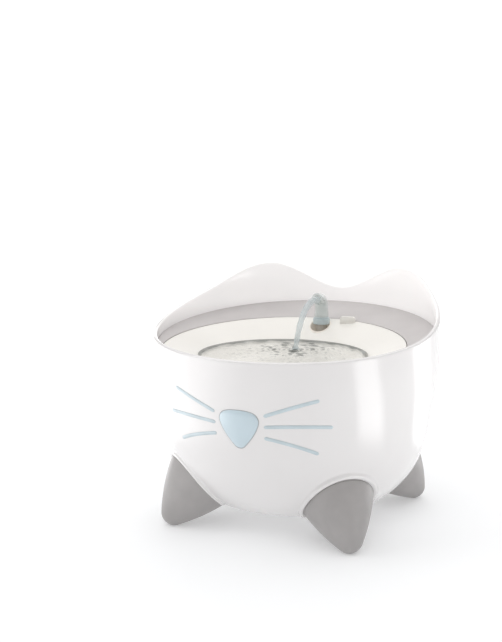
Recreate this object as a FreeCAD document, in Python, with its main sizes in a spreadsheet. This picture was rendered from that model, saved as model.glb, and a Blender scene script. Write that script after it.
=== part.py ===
# Pet water fountain: a white bowl whose rim rises into two rounded ears, a nose
# window and whisker inlays on its face, four conical feet, a lift-off drinking
# tray with a swivelling spout, and the pump, filter and power inlet inside.
# Millimetres, +Z up.  The origin is on the bowl's axis at the floor; the face
# looks along -Y.
import FreeCAD, Part
import math
import os
import Sketcher  # noqa: F401  (the sketch constraints)

V = FreeCAD.Vector
doc = FreeCAD.newDocument("WaterFountain")

# ------------------------------------------------------------------ dimensions
sheet = doc.addObject("Spreadsheet::Sheet", "Sizes")
DIMS = [
    ("floor_z", 22.4), ("floor_flat", 72.0), ("belly_r", 121.2), ("wall", 3.3),
    ("inner_r", 117.2), ("bowl_top", 214.0), ("rib_top", 136.7),
    ("foot_lean", 42.0), ("foot_half_angle", 36.5), ("foot_tip_r", 11.0),
    ("foot_at", 110.0), ("foot_front_angle", 43.5), ("foot_rear_angle", 53.0),
    ("foot_bulge_r", 150.0), ("foot_long", 60.0), ("foot_seam", 1.9), ("collar_grow", 2.4),
    ("floor_drop", 5.0), ("sole_flat", 0.7), ("pad_r", 5.2), ("pad_high", 3.0),
    ("screw_at", 96.0), ("screw_r", 2.0), ("screw_head_r", 4.0), ("screw_head_z", 19.0),
    ("screw_head_high", 2.6), ("screw_long", 28.0), ("boss_r", 5.6),
    ("nose_low", 88.1), ("nose_high", 118.3), ("nose_half", 16.0),
    ("nose_proud", 1.1), ("seal_thick", 1.2), ("flange_grow", 3.2), ("flange_thick", 1.6),
    ("whisker_half", 1.6), ("whisker_deep", 1.0), ("whisker_proud", 0.35),
    ("tray_r", 116.8), ("skirt_in", 114.4), ("skirt_low", 137.0),
    ("wall_line_z", 158.4), ("wall_line_slope", 0.1138), ("ring_fall", 0.106),
    ("dish_y", -29.5), ("dish_r", 101.0), ("dish_edge_z", 156.0), ("dish_edge_slope", 0.08),
    ("pool_r", 69.6), ("pool_z", 144.3), ("pool_foot_r", 57.0), ("pool_foot_z", 134.6),
    ("pool_floor_r", 44.0), ("pool_floor_z", 132.2), ("tray_thick", 2.6), ("band", 2.2),
    ("spout_y", 65.0), ("drain_y", 61.6), ("drain_r", 8.9), ("cup_wall", 1.8),
    ("cup_low", 138.0), ("cup_floor", 3.0), ("stem_r", 5.0), ("stem_bore", 3.2),
    ("stem_low", 127.0), ("collar_low", 157.0), ("spout_collar_r", 7.6), ("spout_collar_high", 5.4),
    ("tube_r", 6.1), ("tube_bore", 4.4), ("tube_high", 18.5), ("beak_r", 4.6),
    ("riser_r", 7.9), ("riser_bore", 6.35), ("riser_low", 71.0), ("riser_top", 137.0),
    ("pump_half", 24.0), ("pump_low", 31.2), ("pump_high", 34.0), ("pump_front", 25.0),
    ("motor_long", 34.0), ("volute_long", 12.0), ("volute_r", 14.6), ("cover_thick", 4.0),
    ("axis_z", 48.2), ("well_r", 8.8), ("magnet_r", 8.0), ("magnet_long", 24.0),
    ("shaft_r", 1.0), ("shaft_bore", 1.05), ("bush_r", 3.0), ("impeller_r", 12.6),
    ("hub_r", 4.2), ("blade_thick", 1.2), ("blade_count", 6), ("outlet_r", 6.3), ("outlet_bore", 4.5),
    ("outlet_top", 84.0), ("dial_r", 7.0), ("dial_thick", 3.2), ("dial_pin", 2.0),
    ("cup_r", 7.0), ("cup_high", 5.0), ("suction_x", 16.0),
    ("cassette_half", 50.0), ("cassette_thick", 24.0), ("cassette_y", 2.0), ("cassette_low", 26.6),
    ("cassette_high", 70.0), ("cassette_wall", 2.2), ("lid_thick", 3.0), ("rail_grow", 0.5),
    ("socket_z", 122.0), ("socket_r", 5.9), ("socket_flange_r", 8.2), ("socket_face", 121.0),
    ("socket_back", 104.0), ("jack_r", 2.8), ("jack_pin", 1.0), ("nut_r", 9.5), ("nut_thick", 4.0),
    ("lead_r", 2.2), ("clip_r", 4.0),
]
D = {}
for row, (alias, value) in enumerate(DIMS, start=1):
    sheet.set("A%d" % row, alias)
    sheet.set("B%d" % row, str(value))
    sheet.setAlias("B%d" % row, alias)
doc.recompute()
for alias, value in DIMS:
    D[alias] = float(getattr(sheet, alias))

NODES = []


def node(obj, label):
    obj.Label = label
    NODES.append((label, obj))
    return obj


def bind(obj, prop, text):
    # a size that follows the sheet; text is written with bare aliases
    import re
    obj.setExpression(prop, re.sub(r"[a-z][a-z0-9_]*[a-z0-9]", lambda w: "Sizes." + w.group(0)
                                   if w.group(0) in D else w.group(0), text))


def feature(label, shape, at=None):
    obj = doc.addObject("Part::Feature", label)
    obj.Shape = shape
    obj.Placement = at or FreeCAD.Placement()
    return node(obj, label)


def cylinder(name, radius, height, base, direction=V(0, 0, 1)):
    obj = doc.addObject("Part::Cylinder", name)
    bind(obj, "Radius", radius)
    bind(obj, "Height", height)
    obj.Placement = FreeCAD.Placement(base, FreeCAD.Rotation(V(0, 0, 1), direction))
    return obj


def box(name, lx, ly, lz, corner):
    obj = doc.addObject("Part::Box", name)
    bind(obj, "Length", lx)
    bind(obj, "Width", ly)
    bind(obj, "Height", lz)
    obj.Placement = FreeCAD.Placement(corner, FreeCAD.Rotation())
    return obj


def fuse(name, objs):
    obj = doc.addObject("Part::MultiFuse", name)
    obj.Shapes = objs
    return obj


def cut(name, base, tool):
    obj = doc.addObject("Part::Cut", name)
    obj.Base = base
    obj.Tool = tool
    return obj


def common(name, a, b):
    obj = doc.addObject("Part::MultiCommon", name)
    obj.Shapes = [a, b]
    return obj


def plane_of(body, role):
    return [f for f in body.Origin.OriginFeatures if f.Role == role][0]


def sketch_on(body, name, role="XY_Plane"):
    sk = body.newObject("Sketcher::SketchObject", name)
    sk.AttachmentSupport = [(plane_of(body, role), "")]
    sk.MapMode = "FlatFace"
    return sk


def add_circle(sk, radius, x=0.0, y=0.0):
    g = sk.addGeometry(Part.Circle(V(x, y, 0), V(0, 0, 1), 1.0 + 0.1 * sk.GeometryCount))
    if x == 0 and y == 0:
        sk.addConstraint(Sketcher.Constraint("Coincident", g, 3, -1, 1))
    else:
        sk.addConstraint(Sketcher.Constraint("DistanceX", -1, 1, g, 3, x))
        sk.addConstraint(Sketcher.Constraint("DistanceY", -1, 1, g, 3, y))
    c = sk.addConstraint(Sketcher.Constraint("Radius", g, 1.0 + 0.1 * g))
    bind(sk, "Constraints[%d]" % c, radius)
    return g


def add_rect(sk, width, height, x=0.0, y=0.0, w0=10.0, h0=10.0):
    p = [V(x - w0 / 2, y - h0 / 2, 0), V(x + w0 / 2, y - h0 / 2, 0),
         V(x + w0 / 2, y + h0 / 2, 0), V(x - w0 / 2, y + h0 / 2, 0)]
    g0 = sk.GeometryCount
    for i in range(4):
        sk.addGeometry(Part.LineSegment(p[i], p[(i + 1) % 4]))
    for i in range(4):
        sk.addConstraint(Sketcher.Constraint("Coincident", g0 + i, 2, g0 + (i + 1) % 4, 1))
    sk.addConstraint(Sketcher.Constraint("Horizontal", g0))
    sk.addConstraint(Sketcher.Constraint("Vertical", g0 + 1))
    sk.addConstraint(Sketcher.Constraint("Horizontal", g0 + 2))
    sk.addConstraint(Sketcher.Constraint("Vertical", g0 + 3))
    a = sk.addConstraint(Sketcher.Constraint("DistanceX", g0, 1, g0, 2, w0))
    b = sk.addConstraint(Sketcher.Constraint("DistanceY", g0 + 1, 1, g0 + 1, 2, h0))
    sk.addConstraint(Sketcher.Constraint("DistanceX", -1, 1, g0, 1, x - w0 / 2))
    sk.addConstraint(Sketcher.Constraint("DistanceY", -1, 1, g0, 1, y - h0 / 2))
    n = sk.ConstraintCount
    bind(sk, "Constraints[%d]" % a, width)
    bind(sk, "Constraints[%d]" % b, height)
    if x == 0:
        bind(sk, "Constraints[%d]" % (n - 2), "-(%s)/2" % width)
    if y == 0:
        bind(sk, "Constraints[%d]" % (n - 1), "-(%s)/2" % height)


def pad(body, sk, length, name="Pad"):
    f = body.newObject("PartDesign::Pad", name)
    f.Profile = sk
    sk.Visibility = False
    bind(f, "Length", length)
    return f


def pocket(body, sk, length=None, reverse=False, name="Pocket"):
    f = body.newObject("PartDesign::Pocket", name)
    f.Profile = sk
    if length is None:
        f.Type = 1
        f.Midplane = True
    else:
        bind(f, "Length", length)
        f.Reversed = reverse
    return f


# ------------------------------------------------------------------ bowl shell
OUTER = [(77.5, 24.0), (83.5, 28.0), (92.5, 36.0), (101.8, 48.1), (108.9, 64.5), (113.4, 81.9),
         (117.6, 105.3), (120.3, 125.0), (D["belly_r"], 142.0), (121.0, 154.0), (120.6, 175.5),
         (120.35, 192.0), (120.3, D["bowl_top"])]
INNER = [(74.5, 27.1), (81.3, 30.8), (90.0, 38.3), (98.8, 49.8), (105.7, 65.5), (110.3, 82.6),
         (114.2, 104.0), (116.3, 118.0)]


def spline(points):
    c = Part.BSplineCurve()
    c.interpolate([V(r, 0, z) for r, z in points])
    return c


OUT_CURVE = spline([(D["floor_flat"], D["floor_z"])] + OUTER)
IN_CURVE = spline([(69.5, D["floor_z"] + D["wall"])] + INNER + [(D["inner_r"], 130.0), (D["inner_r"], 142.0)])


def shifted(curve, d, n=44):
    # the same profile, moved along its outward normal
    a, b = curve.FirstParameter, curve.LastParameter
    pts = []
    for i in range(n):
        u = a + (b - a) * i / (n - 1.0)
        p = curve.value(u)
        g = curve.tangent(u)[0]
        pts.append((p.x + g.z * d, p.z - g.x * d))
    return spline(pts)


def turned(curve, top):
    # the solid of revolution under a profile curve, up to a flat top
    a = curve.value(curve.FirstParameter)
    b = curve.value(curve.LastParameter)
    edges = [Part.makeLine(V(0, 0, a.z), V(a.x, 0, a.z)), curve.toShape()]
    high = b.z
    if top > b.z + 0.05:
        high = top
        edges.append(Part.makeLine(V(b.x, 0, b.z), V(b.x, 0, top)))
    edges.append(Part.makeLine(V(b.x, 0, high), V(0, 0, high)))
    edges.append(Part.makeLine(V(0, 0, high), V(0, 0, a.z)))
    face = Part.Face(Part.Wire(Part.__sortEdges__(edges)))
    return face.revolve(V(0, 0, 0), V(0, 0, 1), 360)


RIM = [(0, 155.8), (15, 156.1), (30, 156.8), (45, 158.2), (60, 160.7), (75, 164.7), (90, 170.7),
       (105, 178.8), (120, 189.1), (127.5, 196.3), (135, 203.2), (142.5, 207.4), (150, 207.7),
       (157.5, 203.0), (165, 195.6), (172.5, 188.6), (180, 185.5)]


def rim_edge(radius):
    full = RIM + [(360 - a, z) for a, z in reversed(RIM[1:-1])]
    pts = [V(radius * math.sin(math.radians(a)), -radius * math.cos(math.radians(a)), z) for a, z in full]
    c = Part.BSplineCurve()
    c.interpolate(pts, PeriodicFlag=True)
    return c.toShape()


outer_solid = turned(OUT_CURVE, D["bowl_top"])
inner_solid = turned(IN_CURVE, D["bowl_top"] + 6)
rim_cut = Part.makeRuledSurface(rim_edge(96.0), rim_edge(142.0)).extrude(V(0, 0, 90))
seam_solid = turned(shifted(OUT_CURVE, D["foot_seam"]), D["bowl_top"])


def foot_axis(angle):
    # unit vector outward from the bowl's axis at an angle from the face
    return V(math.sin(math.radians(angle)), -math.cos(math.radians(angle)), 0)


FEET = [("foot_front_left", -D["foot_front_angle"]), ("foot_front_right", D["foot_front_angle"]),
        ("foot_rear_left", -(180 - D["foot_rear_angle"])), ("foot_rear_right", 180 - D["foot_rear_angle"])]


def foot_tip(angle):
    # centre of the rounded tip; the sole is flattened by sole_flat at the floor
    return foot_axis(angle) * D["foot_at"] + V(0, 0, D["floor_drop"] - D["sole_flat"] + D["foot_tip_r"])


def foot_form(angle, grow):
    # a bulged cone: a round tip that runs on into a long arc, turned about the leaning axis
    ha = math.radians(D["foot_half_angle"])
    r1, r2 = D["foot_tip_r"] + grow, D["foot_bulge_r"] + grow
    step = D["foot_bulge_r"] - D["foot_tip_r"]
    cx, cz = -step * math.cos(ha), step * math.sin(ha)
    g2 = -math.asin((D["foot_long"] - cz) / r2)

    def on_tip(a):
        return V(r1 * math.cos(a), 0, -r1 * math.sin(a))

    def on_side(a):
        return V(cx + r2 * math.cos(a), 0, cz - r2 * math.sin(a))
    p0, p1, p2 = V(0, 0, -r1), on_tip(ha), on_side(g2)
    edges = [Part.Arc(p0, on_tip((ha + math.pi / 2) / 2), p1).toShape(),
             Part.Arc(p1, on_side((ha + g2) / 2), p2).toShape(),
             Part.makeLine(p2, V(0, 0, p2.z)), Part.makeLine(V(0, 0, p2.z), p0)]
    solid = Part.Face(Part.Wire(edges)).revolve(V(0, 0, 0), V(0, 0, 1), 360)
    e = foot_axis(angle)
    lean = math.radians(D["foot_lean"])
    axis = V(-e.x * math.sin(lean), -e.y * math.sin(lean), math.cos(lean))
    solid.Placement = FreeCAD.Placement(foot_tip(angle), FreeCAD.Rotation(V(0, 0, 1), axis))
    return solid


shell = outer_solid
for _n, ang in FEET:
    shell = shell.fuse(foot_form(ang, D["collar_grow"]).common(seam_solid))
hollow = inner_solid
shell = shell.cut(hollow)
# inside: support ribs for the tray, feet bosses, cassette rails, socket boss
extras = []
for i in range(6):
    a = math.radians(60 * i)
    b = Part.makeBox(8.0, 4.0, D["rib_top"] - 96.0, V(111.6, -2.0, 96.0))
    b.rotate(V(0, 0, 0), V(0, 0, 1), 60 * i)
    extras.append(b)
for _n, ang in FEET:
    e = foot_axis(ang) * D["screw_at"]
    extras.append(Part.makeCylinder(D["boss_r"], 16.0, V(e.x, e.y, 39.0)))
gap = D["cassette_thick"] + 2 * D["rail_grow"]
for s in (-1, 1):
    x0 = s * (D["cassette_half"] + D["rail_grow"])
    rail = Part.makeBox(9.0, gap + 6.0, 44.0, V(min(x0 - s * 5.0, x0 + s * 4.0), D["cassette_y"] - gap / 2 - 3.0, 24.0))
    slot = Part.makeBox(D["cassette_half"] * 2 + 2 * D["rail_grow"], gap, 60.0,
                        V(-D["cassette_half"] - D["rail_grow"], D["cassette_y"] - gap / 2, 25.7))
    extras.append(rail.cut(slot))
extras.append(Part.makeCylinder(11.5, 10.0, V(0, 109.0, D["socket_z"]), V(0, 1, 0)))
inside = extras[0].multiFuse(extras[1:]).common(outer_solid)
shell = shell.fuse(inside)
# openings: screw holes, power socket, rim
for _n, ang in FEET:
    e = foot_axis(ang) * D["screw_at"]
    shell = shell.cut(Part.makeCylinder(D["screw_r"] + 0.04, 17.0, V(e.x, e.y, 34.0)))
shell = shell.cut(Part.makeCylinder(D["socket_r"] + 0.1, 40.0, V(0, 100, D["socket_z"]), V(0, 1, 0)))
shell = shell.cut(Part.makeCylinder(D["socket_flange_r"] + 0.25, 10.0, V(0, D["socket_face"] - 2.2, D["socket_z"]), V(0, 1, 0)))


# ------------------------------------------------------------------ nose window
def nose_points(grow):
    half, low, high = D["nose_half"], D["nose_low"], D["nose_high"]
    rc, rt = 7.4, 6.0
    corners = [(half - rc, high - 0.9 - rc, rc), (0, low + rt, rt), (-half + rc, high - 0.9 - rc, rc)]
    pts = []
    for k, (cx, cz, rr) in enumerate(corners):
        lo, hi = ((-24, 80), (212, 328), (100, 204))[k]
        for j in range(5):
            a = math.radians(lo + (hi - lo) * j / 4.0) if k != 1 else math.radians(hi - (hi - lo) * j / 4.0)
            pts.append((cx + (rr + grow) * math.cos(a), cz + (rr + grow) * math.sin(a)))
    right = pts[0:5][::-1]      # top to side
    tip = pts[5:10]             # right to left
    left = pts[10:15][::-1]     # side to top
    return [(0, high + grow)] + right + tip + left


def nose_prism(grow, y0=-132.0, y1=-96.0):
    c = Part.BSplineCurve()
    c.interpolate([V(x, y0, z) for x, z in nose_points(grow)], PeriodicFlag=True)
    return Part.Face(Part.Wire([c.toShape()])).extrude(V(0, y1 - y0, 0))


shell = shell.cut(nose_prism(0.15))

# ------------------------------------------------------------------ whiskers
WHISKERS = [((20.0, 115.0), (41.5, 122.6), (61.0, 128.0)), ((20.0, 106.4), (46.0, 107.6), (72.0, 106.8)),
            ((20.0, 97.7), (42.0, 92.6), (62.0, 85.5))]


def wall_r(z):
    # the bowl's outer radius at a height, read off the profile curve
    lo, hi = OUT_CURVE.FirstParameter, OUT_CURVE.LastParameter
    for _ in range(50):
        mid = 0.5 * (lo + hi)
        if OUT_CURVE.value(mid).z < z:
            lo = mid
        else:
            hi = mid
    return OUT_CURVE.value(lo).x


def whisker_blade(p0, pm, p1, side, half):
    # a straight blade through the wall whose outline is one whisker
    cen = []
    for i in range(13):
        u = i / 12.0
        a, b, c = (1 - u) ** 2, 2 * u * (1 - u), u * u
        q = (2 * pm[0] - 0.5 * (p0[0] + p1[0]), 2 * pm[1] - 0.5 * (p0[1] + p1[1]))
        cen.append((a * p0[0] + b * q[0] + c * p1[0], a * p0[1] + b * q[1] + c * p1[1]))
    up, dn = [], []
    for i, p in enumerate(cen):
        a = cen[max(i - 1, 0)]
        b = cen[min(i + 1, 12)]
        g = math.hypot(b[0] - a[0], b[1] - a[1])
        nx, nz = -(b[1] - a[1]) / g, (b[0] - a[0]) / g
        up.append((p[0] + nx * half, p[1] + nz * half))
        dn.append((p[0] - nx * half, p[1] - nz * half))

    def cap(p, q):
        ang = math.atan2(p[1] - q[1], p[0] - q[0])
        return [(p[0] + half * math.cos(ang + math.radians(k)), p[1] + half * math.sin(ang + math.radians(k)))
                for k in (-45, 0, 45)]
    outline = dn + cap(cen[-1], cen[-2]) + up[::-1] + cap(cen[0], cen[1])
    mid = side * (p0[0] + p1[0]) * 0.5 / 118.0
    e = V(math.sin(mid), -math.cos(mid), 0)
    pts = []
    for s_, z in outline:
        th = side * s_ / 118.0
        q = V(118.0 * math.sin(th), -118.0 * math.cos(th), z)
        pts.append(q - e * (q.dot(e) - 88.0))
    return Part.Face(Part.makePolygon(pts + [pts[0]])).extrude(e * 60.0)


def cone_skin(z0, z1, out, deep):
    a = Part.makeCone(wall_r(z0) + out, wall_r(z1) + out, z1 - z0, V(0, 0, z0))
    return a.cut(Part.makeCone(wall_r(z0) - deep, wall_r(z1) - deep, z1 - z0, V(0, 0, z0)))


for side, label in ((-1, "whisker_inlays_left"), (1, "whisker_inlays_right")):
    solids = []
    for p0, pm, p1 in WHISKERS:
        z0, z1 = min(p0[1], pm[1], p1[1]) - 2.6, max(p0[1], pm[1], p1[1]) + 2.6
        blade = whisker_blade(p0, pm, p1, side, D["whisker_half"])
        solids += blade.common(cone_skin(z0, z1, D["whisker_proud"], D["whisker_deep"])).Solids
        groove = whisker_blade(p0, pm, p1, side, D["whisker_half"] + 0.08)
        shell = shell.cut(groove.common(cone_skin(z0, z1, 5.0, D["whisker_deep"] + 0.05)))
    feature(label, Part.makeCompound(solids))

shell = shell.cut(rim_cut)
shell = max(shell.Solids, key=lambda q: q.Volume)
feature("bowl_shell", shell)

front_half = Part.makeBox(120, 60, 60, V(-60, -140, 75))


def zone(outside, inside):
    # the layer between two profiles, in front of the bowl's face only
    return outside.common(front_half).cut(inside)


def lining(d):
    return turned(shifted(IN_CURVE, -d), 170.0)


st, ft = D["seal_thick"], D["flange_thick"]
seal_zone = zone(inner_solid, lining(st))
flange_zone = zone(lining(st + 0.05), lining(st + ft))
clamp_zone = zone(lining(st + ft + 0.1), lining(st + ft + 2.4))
window_zone = zone(turned(shifted(OUT_CURVE, D["nose_proud"]), D["bowl_top"]), lining(st + ft + 0.4))
window = nose_prism(0.0).common(window_zone).fuse(nose_prism(D["flange_grow"]).common(flange_zone))
feature("nose_window", max(window.Solids, key=lambda q: q.Volume))
ring_ = nose_prism(D["flange_grow"] + 0.6).cut(nose_prism(0.4)).common(seal_zone)
feature("nose_window_seal", max(ring_.Solids, key=lambda q: q.Volume))
clamp = nose_prism(D["flange_grow"] + 1.2).cut(nose_prism(0.3)).common(clamp_zone)
feature("nose_window_clamp", max(clamp.Solids, key=lambda q: q.Volume))

# ------------------------------------------------------------------ feet
seam = doc.addObject("Part::Feature", "belly_offset")
seam.Shape = turned(shifted(OUT_CURVE, D["foot_seam"] + 0.08), 120)
fd = D["floor_drop"]
for label, ang in FEET:
    e = foot_axis(ang)
    body_ = doc.addObject("Part::Feature", label + "_form")
    body_.Shape = foot_form(ang, 0.0)
    step = cylinder(label + "_pad_seat", "pad_r + 0.05", "pad_high + 8.05", V(e.x * D["foot_at"], e.y * D["foot_at"], fd - 8.0))
    hole = cylinder(label + "_screw_hole", "screw_r + 0.15", "60", V(e.x * D["screw_at"], e.y * D["screw_at"], -2.0))
    well = cylinder(label + "_screw_well", "screw_head_r + 0.5", "screw_head_z + screw_head_high + 4",
                    V(e.x * D["screw_at"], e.y * D["screw_at"], -4.0))
    tools = fuse(label + "_cuts", [seam, step, hole, well])
    node(cut(label, body_, tools), label)
pads, screws = [], []
for label, ang in FEET:
    e = foot_axis(ang)
    disc = cylinder(label + "_pad_disc", "pad_r", "pad_high", V(e.x * D["foot_at"], e.y * D["foot_at"], fd))
    ball = doc.addObject("Part::Sphere", label + "_pad_ball")
    bind(ball, "Radius", "foot_tip_r")
    ball.Placement = FreeCAD.Placement(foot_tip(ang), FreeCAD.Rotation())
    both = doc.addObject("Part::MultiCommon", label + "_pad")
    both.Shapes = [disc, ball]
    pads.append(both)
    head = cylinder(label + "_screw_head", "screw_head_r", "screw_head_high",
                    V(e.x * D["screw_at"], e.y * D["screw_at"], D["screw_head_z"]))
    shank = cylinder(label + "_screw_shank", "screw_r", "screw_long",
                     V(e.x * D["screw_at"], e.y * D["screw_at"], D["screw_head_z"] + D["screw_head_high"] - 0.2))
    drive = cylinder(label + "_screw_drive", "screw_head_r * 0.35", "1.4",
                     V(e.x * D["screw_at"], e.y * D["screw_at"], D["screw_head_z"] - 0.01))
    screws.append(cut(label + "_screw", fuse(label + "_screw_blank", [head, shank]), drive))
grp = doc.addObject("Part::Compound", "foot_pads")
grp.Links = pads
node(grp, "foot_pads")
grp = doc.addObject("Part::Compound", "foot_screws")
grp.Links = screws
node(grp, "foot_screws")


# ------------------------------------------------------------------ drinking tray
def ruled(levels):
    N = 24
    wires = []
    for r, cy_, z0, sl in levels:
        pts = []
        for i in range(N):
            t_ = 2 * math.pi * i / N
            x, y = r * math.sin(t_), cy_ - r * math.cos(t_)
            pts.append(V(x, y, z0 + sl * y))
        c = Part.BSplineCurve()
        c.interpolate(pts, PeriodicFlag=True)
        wires.append(Part.Wire([c.toShape()]))
    sol = Part.makeLoft(wires, True, True)
    if sol.Volume < 0:
        sol.reverse()
    return sol


def below(z0, slope, lift=0.0):
    # everything under the plane z = z0 + lift + slope * y
    b_ = Part.makeBox(400, 400, 200, V(-200, -200, -200))
    b_.rotate(V(0, 0, 0), V(1, 0, 0), math.degrees(math.atan(slope)))
    b_.translate(V(0, 0, z0 + lift))
    return b_


def tube_between(r_out, r_in, cy_, low, high, z0, slope):
    t_ = Part.makeCylinder(r_out, 120, V(0, cy_, 100)).cut(Part.makeCylinder(r_in, 122, V(0, cy_, 99)))
    return t_.common(below(z0, slope, high)).cut(below(z0, slope, low))


cy = D["dish_y"]
e0, es = D["dish_edge_z"], D["dish_edge_slope"]
tt = D["tray_thick"]
w0, ws = D["wall_line_z"], D["wall_line_slope"]
pr, pz_ = D["pool_r"], D["pool_z"]
# the dish's slope runs on past its edge, so that true cylinders can trim it
grow = 1.4
ext_r = pr + grow * (D["dish_r"] - pr)
ext_s = grow * es * D["dish_r"] / ext_r
ext_z = pz_ + grow * (e0 + es * cy - pz_) - ext_s * cy


def dish_form(drop):
    return ruled([(D["pool_floor_r"], cy, D["pool_floor_z"] - drop, 0.0), (D["pool_foot_r"], cy, D["pool_foot_z"] - drop, 0.0),
                  (pr, cy, pz_ - drop, 0.0), (ext_r, cy, ext_z - drop, ext_s)])


def ring_form(drop):
    # a shallow cone about the wall line's own axis, which leans back with it
    k = D["ring_fall"]
    low_r, high_r = 24.0, 150.0
    c_ = Part.makeCone(low_r, high_r, (high_r - low_r) * k, V(0, 0, -(D["tray_r"] - low_r) * k))
    c_ = c_.fuse(Part.makeCylinder(high_r, 30.0, V(0, 0, (high_r - D["tray_r"]) * k)))
    c_.rotate(V(0, 0, 0), V(1, 0, 0), math.degrees(math.atan(ws)))
    c_.translate(V(0, 0, w0 - drop))
    return c_


dish_in, dish_low = dish_form(0.0), dish_form(tt)
clip = Part.makeCylinder(D["tray_r"], 140, V(0, 0, 110))
dish_cyl = Part.makeCylinder(D["dish_r"], 120, V(0, cy, 100))
sheet_ = dish_low.cut(dish_in)
lip = tube_between(D["dish_r"] + 4, D["dish_r"] - D["band"], cy, -6.0, -1.2, e0, es).cut(dish_in)
cup = Part.makeCylinder(D["drain_r"] + D["cup_wall"], 40.0, V(0, D["drain_y"], D["cup_low"])).common(
    below(e0, es, -1.0)).cut(dish_in)
cup_in = Part.makeCylinder(D["drain_r"], 60.0, V(0, D["drain_y"], D["cup_low"] + D["cup_floor"]))
dish = sheet_.fuse(lip).fuse(cup).common(dish_cyl).common(clip).cut(cup_in)
dish = dish.cut(Part.makeCylinder(D["stem_r"] + 0.3, 20, V(0, D["spout_y"], 130)))
for dx in (-5.2, 5.2):
    dish = dish.cut(Part.makeCylinder(1.6, 20, V(dx, D["drain_y"] - 3.6, 130)))
dish = dish.cut(Part.makeCylinder(D["spout_collar_r"] + 0.2, 30, V(0, D["spout_y"], D["collar_low"] - 0.05)))
# a small finger tab moulded on the dish's rear edge, to the right of the spout
tab = Part.makeBox(14.0, 3.2, 8.6, V(18.0, 63.6, 156.6))
tab = tab.makeFillet(1.2, [q for q in tab.Edges if q.BoundBox.ZMin > 164 or q.BoundBox.ZLength > 5])
dish = dish.fuse(tab)
dish = max(dish.Solids, key=lambda q: q.Volume)
feature("drinking_tray", dish)

ring_top, ring_low = ring_form(0.0), ring_form(tt)
gap_r = D["dish_r"] + 0.3
gap_cyl = Part.makeCylinder(gap_r, 120, V(0, cy, 100))
tube_wall = Part.makeCylinder(D["tray_r"], 60, V(0, 0, D["skirt_low"]))
skirt = tube_wall.cut(Part.makeCylinder(D["skirt_in"], 62, V(0, 0, D["skirt_low"] - 1)))
block = tube_wall.common(below(w0, ws, 1.0)).cut(ring_top)
hollow_low = tube_wall.common(below(w0, ws, -1.0)).cut(ring_low).common(Part.makeCylinder(D["skirt_in"], 80, V(0, 0, 120)))
top_sheet = block.cut(hollow_low).cut(gap_cyl)
socket = tube_between(gap_r + D["band"], D["dish_r"] - 3.6, cy, -8.8, 2.5, e0, es)
socket = socket.cut(gap_cyl.cut(below(e0, es, -6.3))).cut(ring_top).common(Part.makeCylinder(D["skirt_in"] + 0.8, 90, V(0, 0, 100)))
base_skirt = skirt.common(below(w0, ws, 1.0)).cut(ring_top)
dish_gap = dish_form(tt + 0.2)
crescent = top_sheet.fuse(base_skirt.common(gap_cyl).cut(dish_gap)).fuse(socket.cut(dish_gap))
crescent = crescent.cut(Part.makeCylinder(D["drain_r"] + D["cup_wall"] + 0.4, 60, V(0, D["drain_y"], 120)))
# room for the dish's turned-down edge where it crosses the skirt
crescent = crescent.cut(tube_between(gap_r, D["dish_r"] - D["band"] - 0.3, cy, -6.25, 4.0, e0, es))
crescent = max(crescent.Solids, key=lambda q: q.Volume)
feature("tray_ring", crescent)

# ------------------------------------------------------------------ spout
sy = D["spout_y"]
stem = doc.addObject("PartDesign::Body", "spout_stem")
sk = sketch_on(stem, "StemSection")
add_circle(sk, "stem_r")
add_circle(sk, "stem_bore")
pad(stem, sk, "collar_low - stem_low")
stem.Placement = FreeCAD.Placement(V(0, sy, D["stem_low"]), FreeCAD.Rotation())
node(stem, "spout_stem")

col = doc.addObject("PartDesign::Body", "spout_collar")
sk = sketch_on(col, "CollarSection")
add_circle(sk, "spout_collar_r")
add_circle(sk, "stem_bore")
pad(col, sk, "spout_collar_high")
col.Placement = FreeCAD.Placement(V(0, sy, D["collar_low"]), FreeCAD.Rotation())
node(col, "spout_collar")

z1 = D["collar_low"] + D["spout_collar_high"]
tube = Part.makeCone(D["tube_r"] + 0.5, D["tube_r"], D["tube_high"] - 5, V(0, sy, z1)).fuse(
    Part.makeCylinder(D["tube_r"], 5, V(0, sy, z1 + D["tube_high"] - 5)))
tube = tube.fuse(Part.makeSphere(D["tube_r"], V(0, sy, z1 + D["tube_high"])))
beak_dir = V(0, -math.cos(math.radians(12)), math.sin(math.radians(12)))
tube = tube.fuse(Part.makeCylinder(D["beak_r"], 13.5, V(0, sy, z1 + D["tube_high"] - 1.6), beak_dir))
tube = tube.cut(Part.makeCylinder(D["tube_bore"], D["tube_high"] - 1, V(0, sy, z1 - 0.5)))
tube = tube.cut(Part.makeSphere(D["tube_bore"], V(0, sy, z1 + D["tube_high"] - 1.5)))
tube = tube.cut(Part.makeCylinder(D["beak_r"] - 1.5, 20.0, V(0, sy, z1 + D["tube_high"] - 1.6), beak_dir))
feature("spout_tube", tube.removeSplitter())

oring = doc.addObject("Part::Torus", "spout_o_ring")
bind(oring, "Radius1", "stem_r - 0.2")
bind(oring, "Radius2", "1.1")
oring.Placement = FreeCAD.Placement(V(0, sy, D["stem_low"] + 4.0), FreeCAD.Rotation())
groove_cut = cut("spout_o_ring_cut", oring, cylinder("spout_o_ring_bore", "stem_r + 0.02", "8", V(0, sy, D["stem_low"])))
node(groove_cut, "spout_o_ring")

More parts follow.
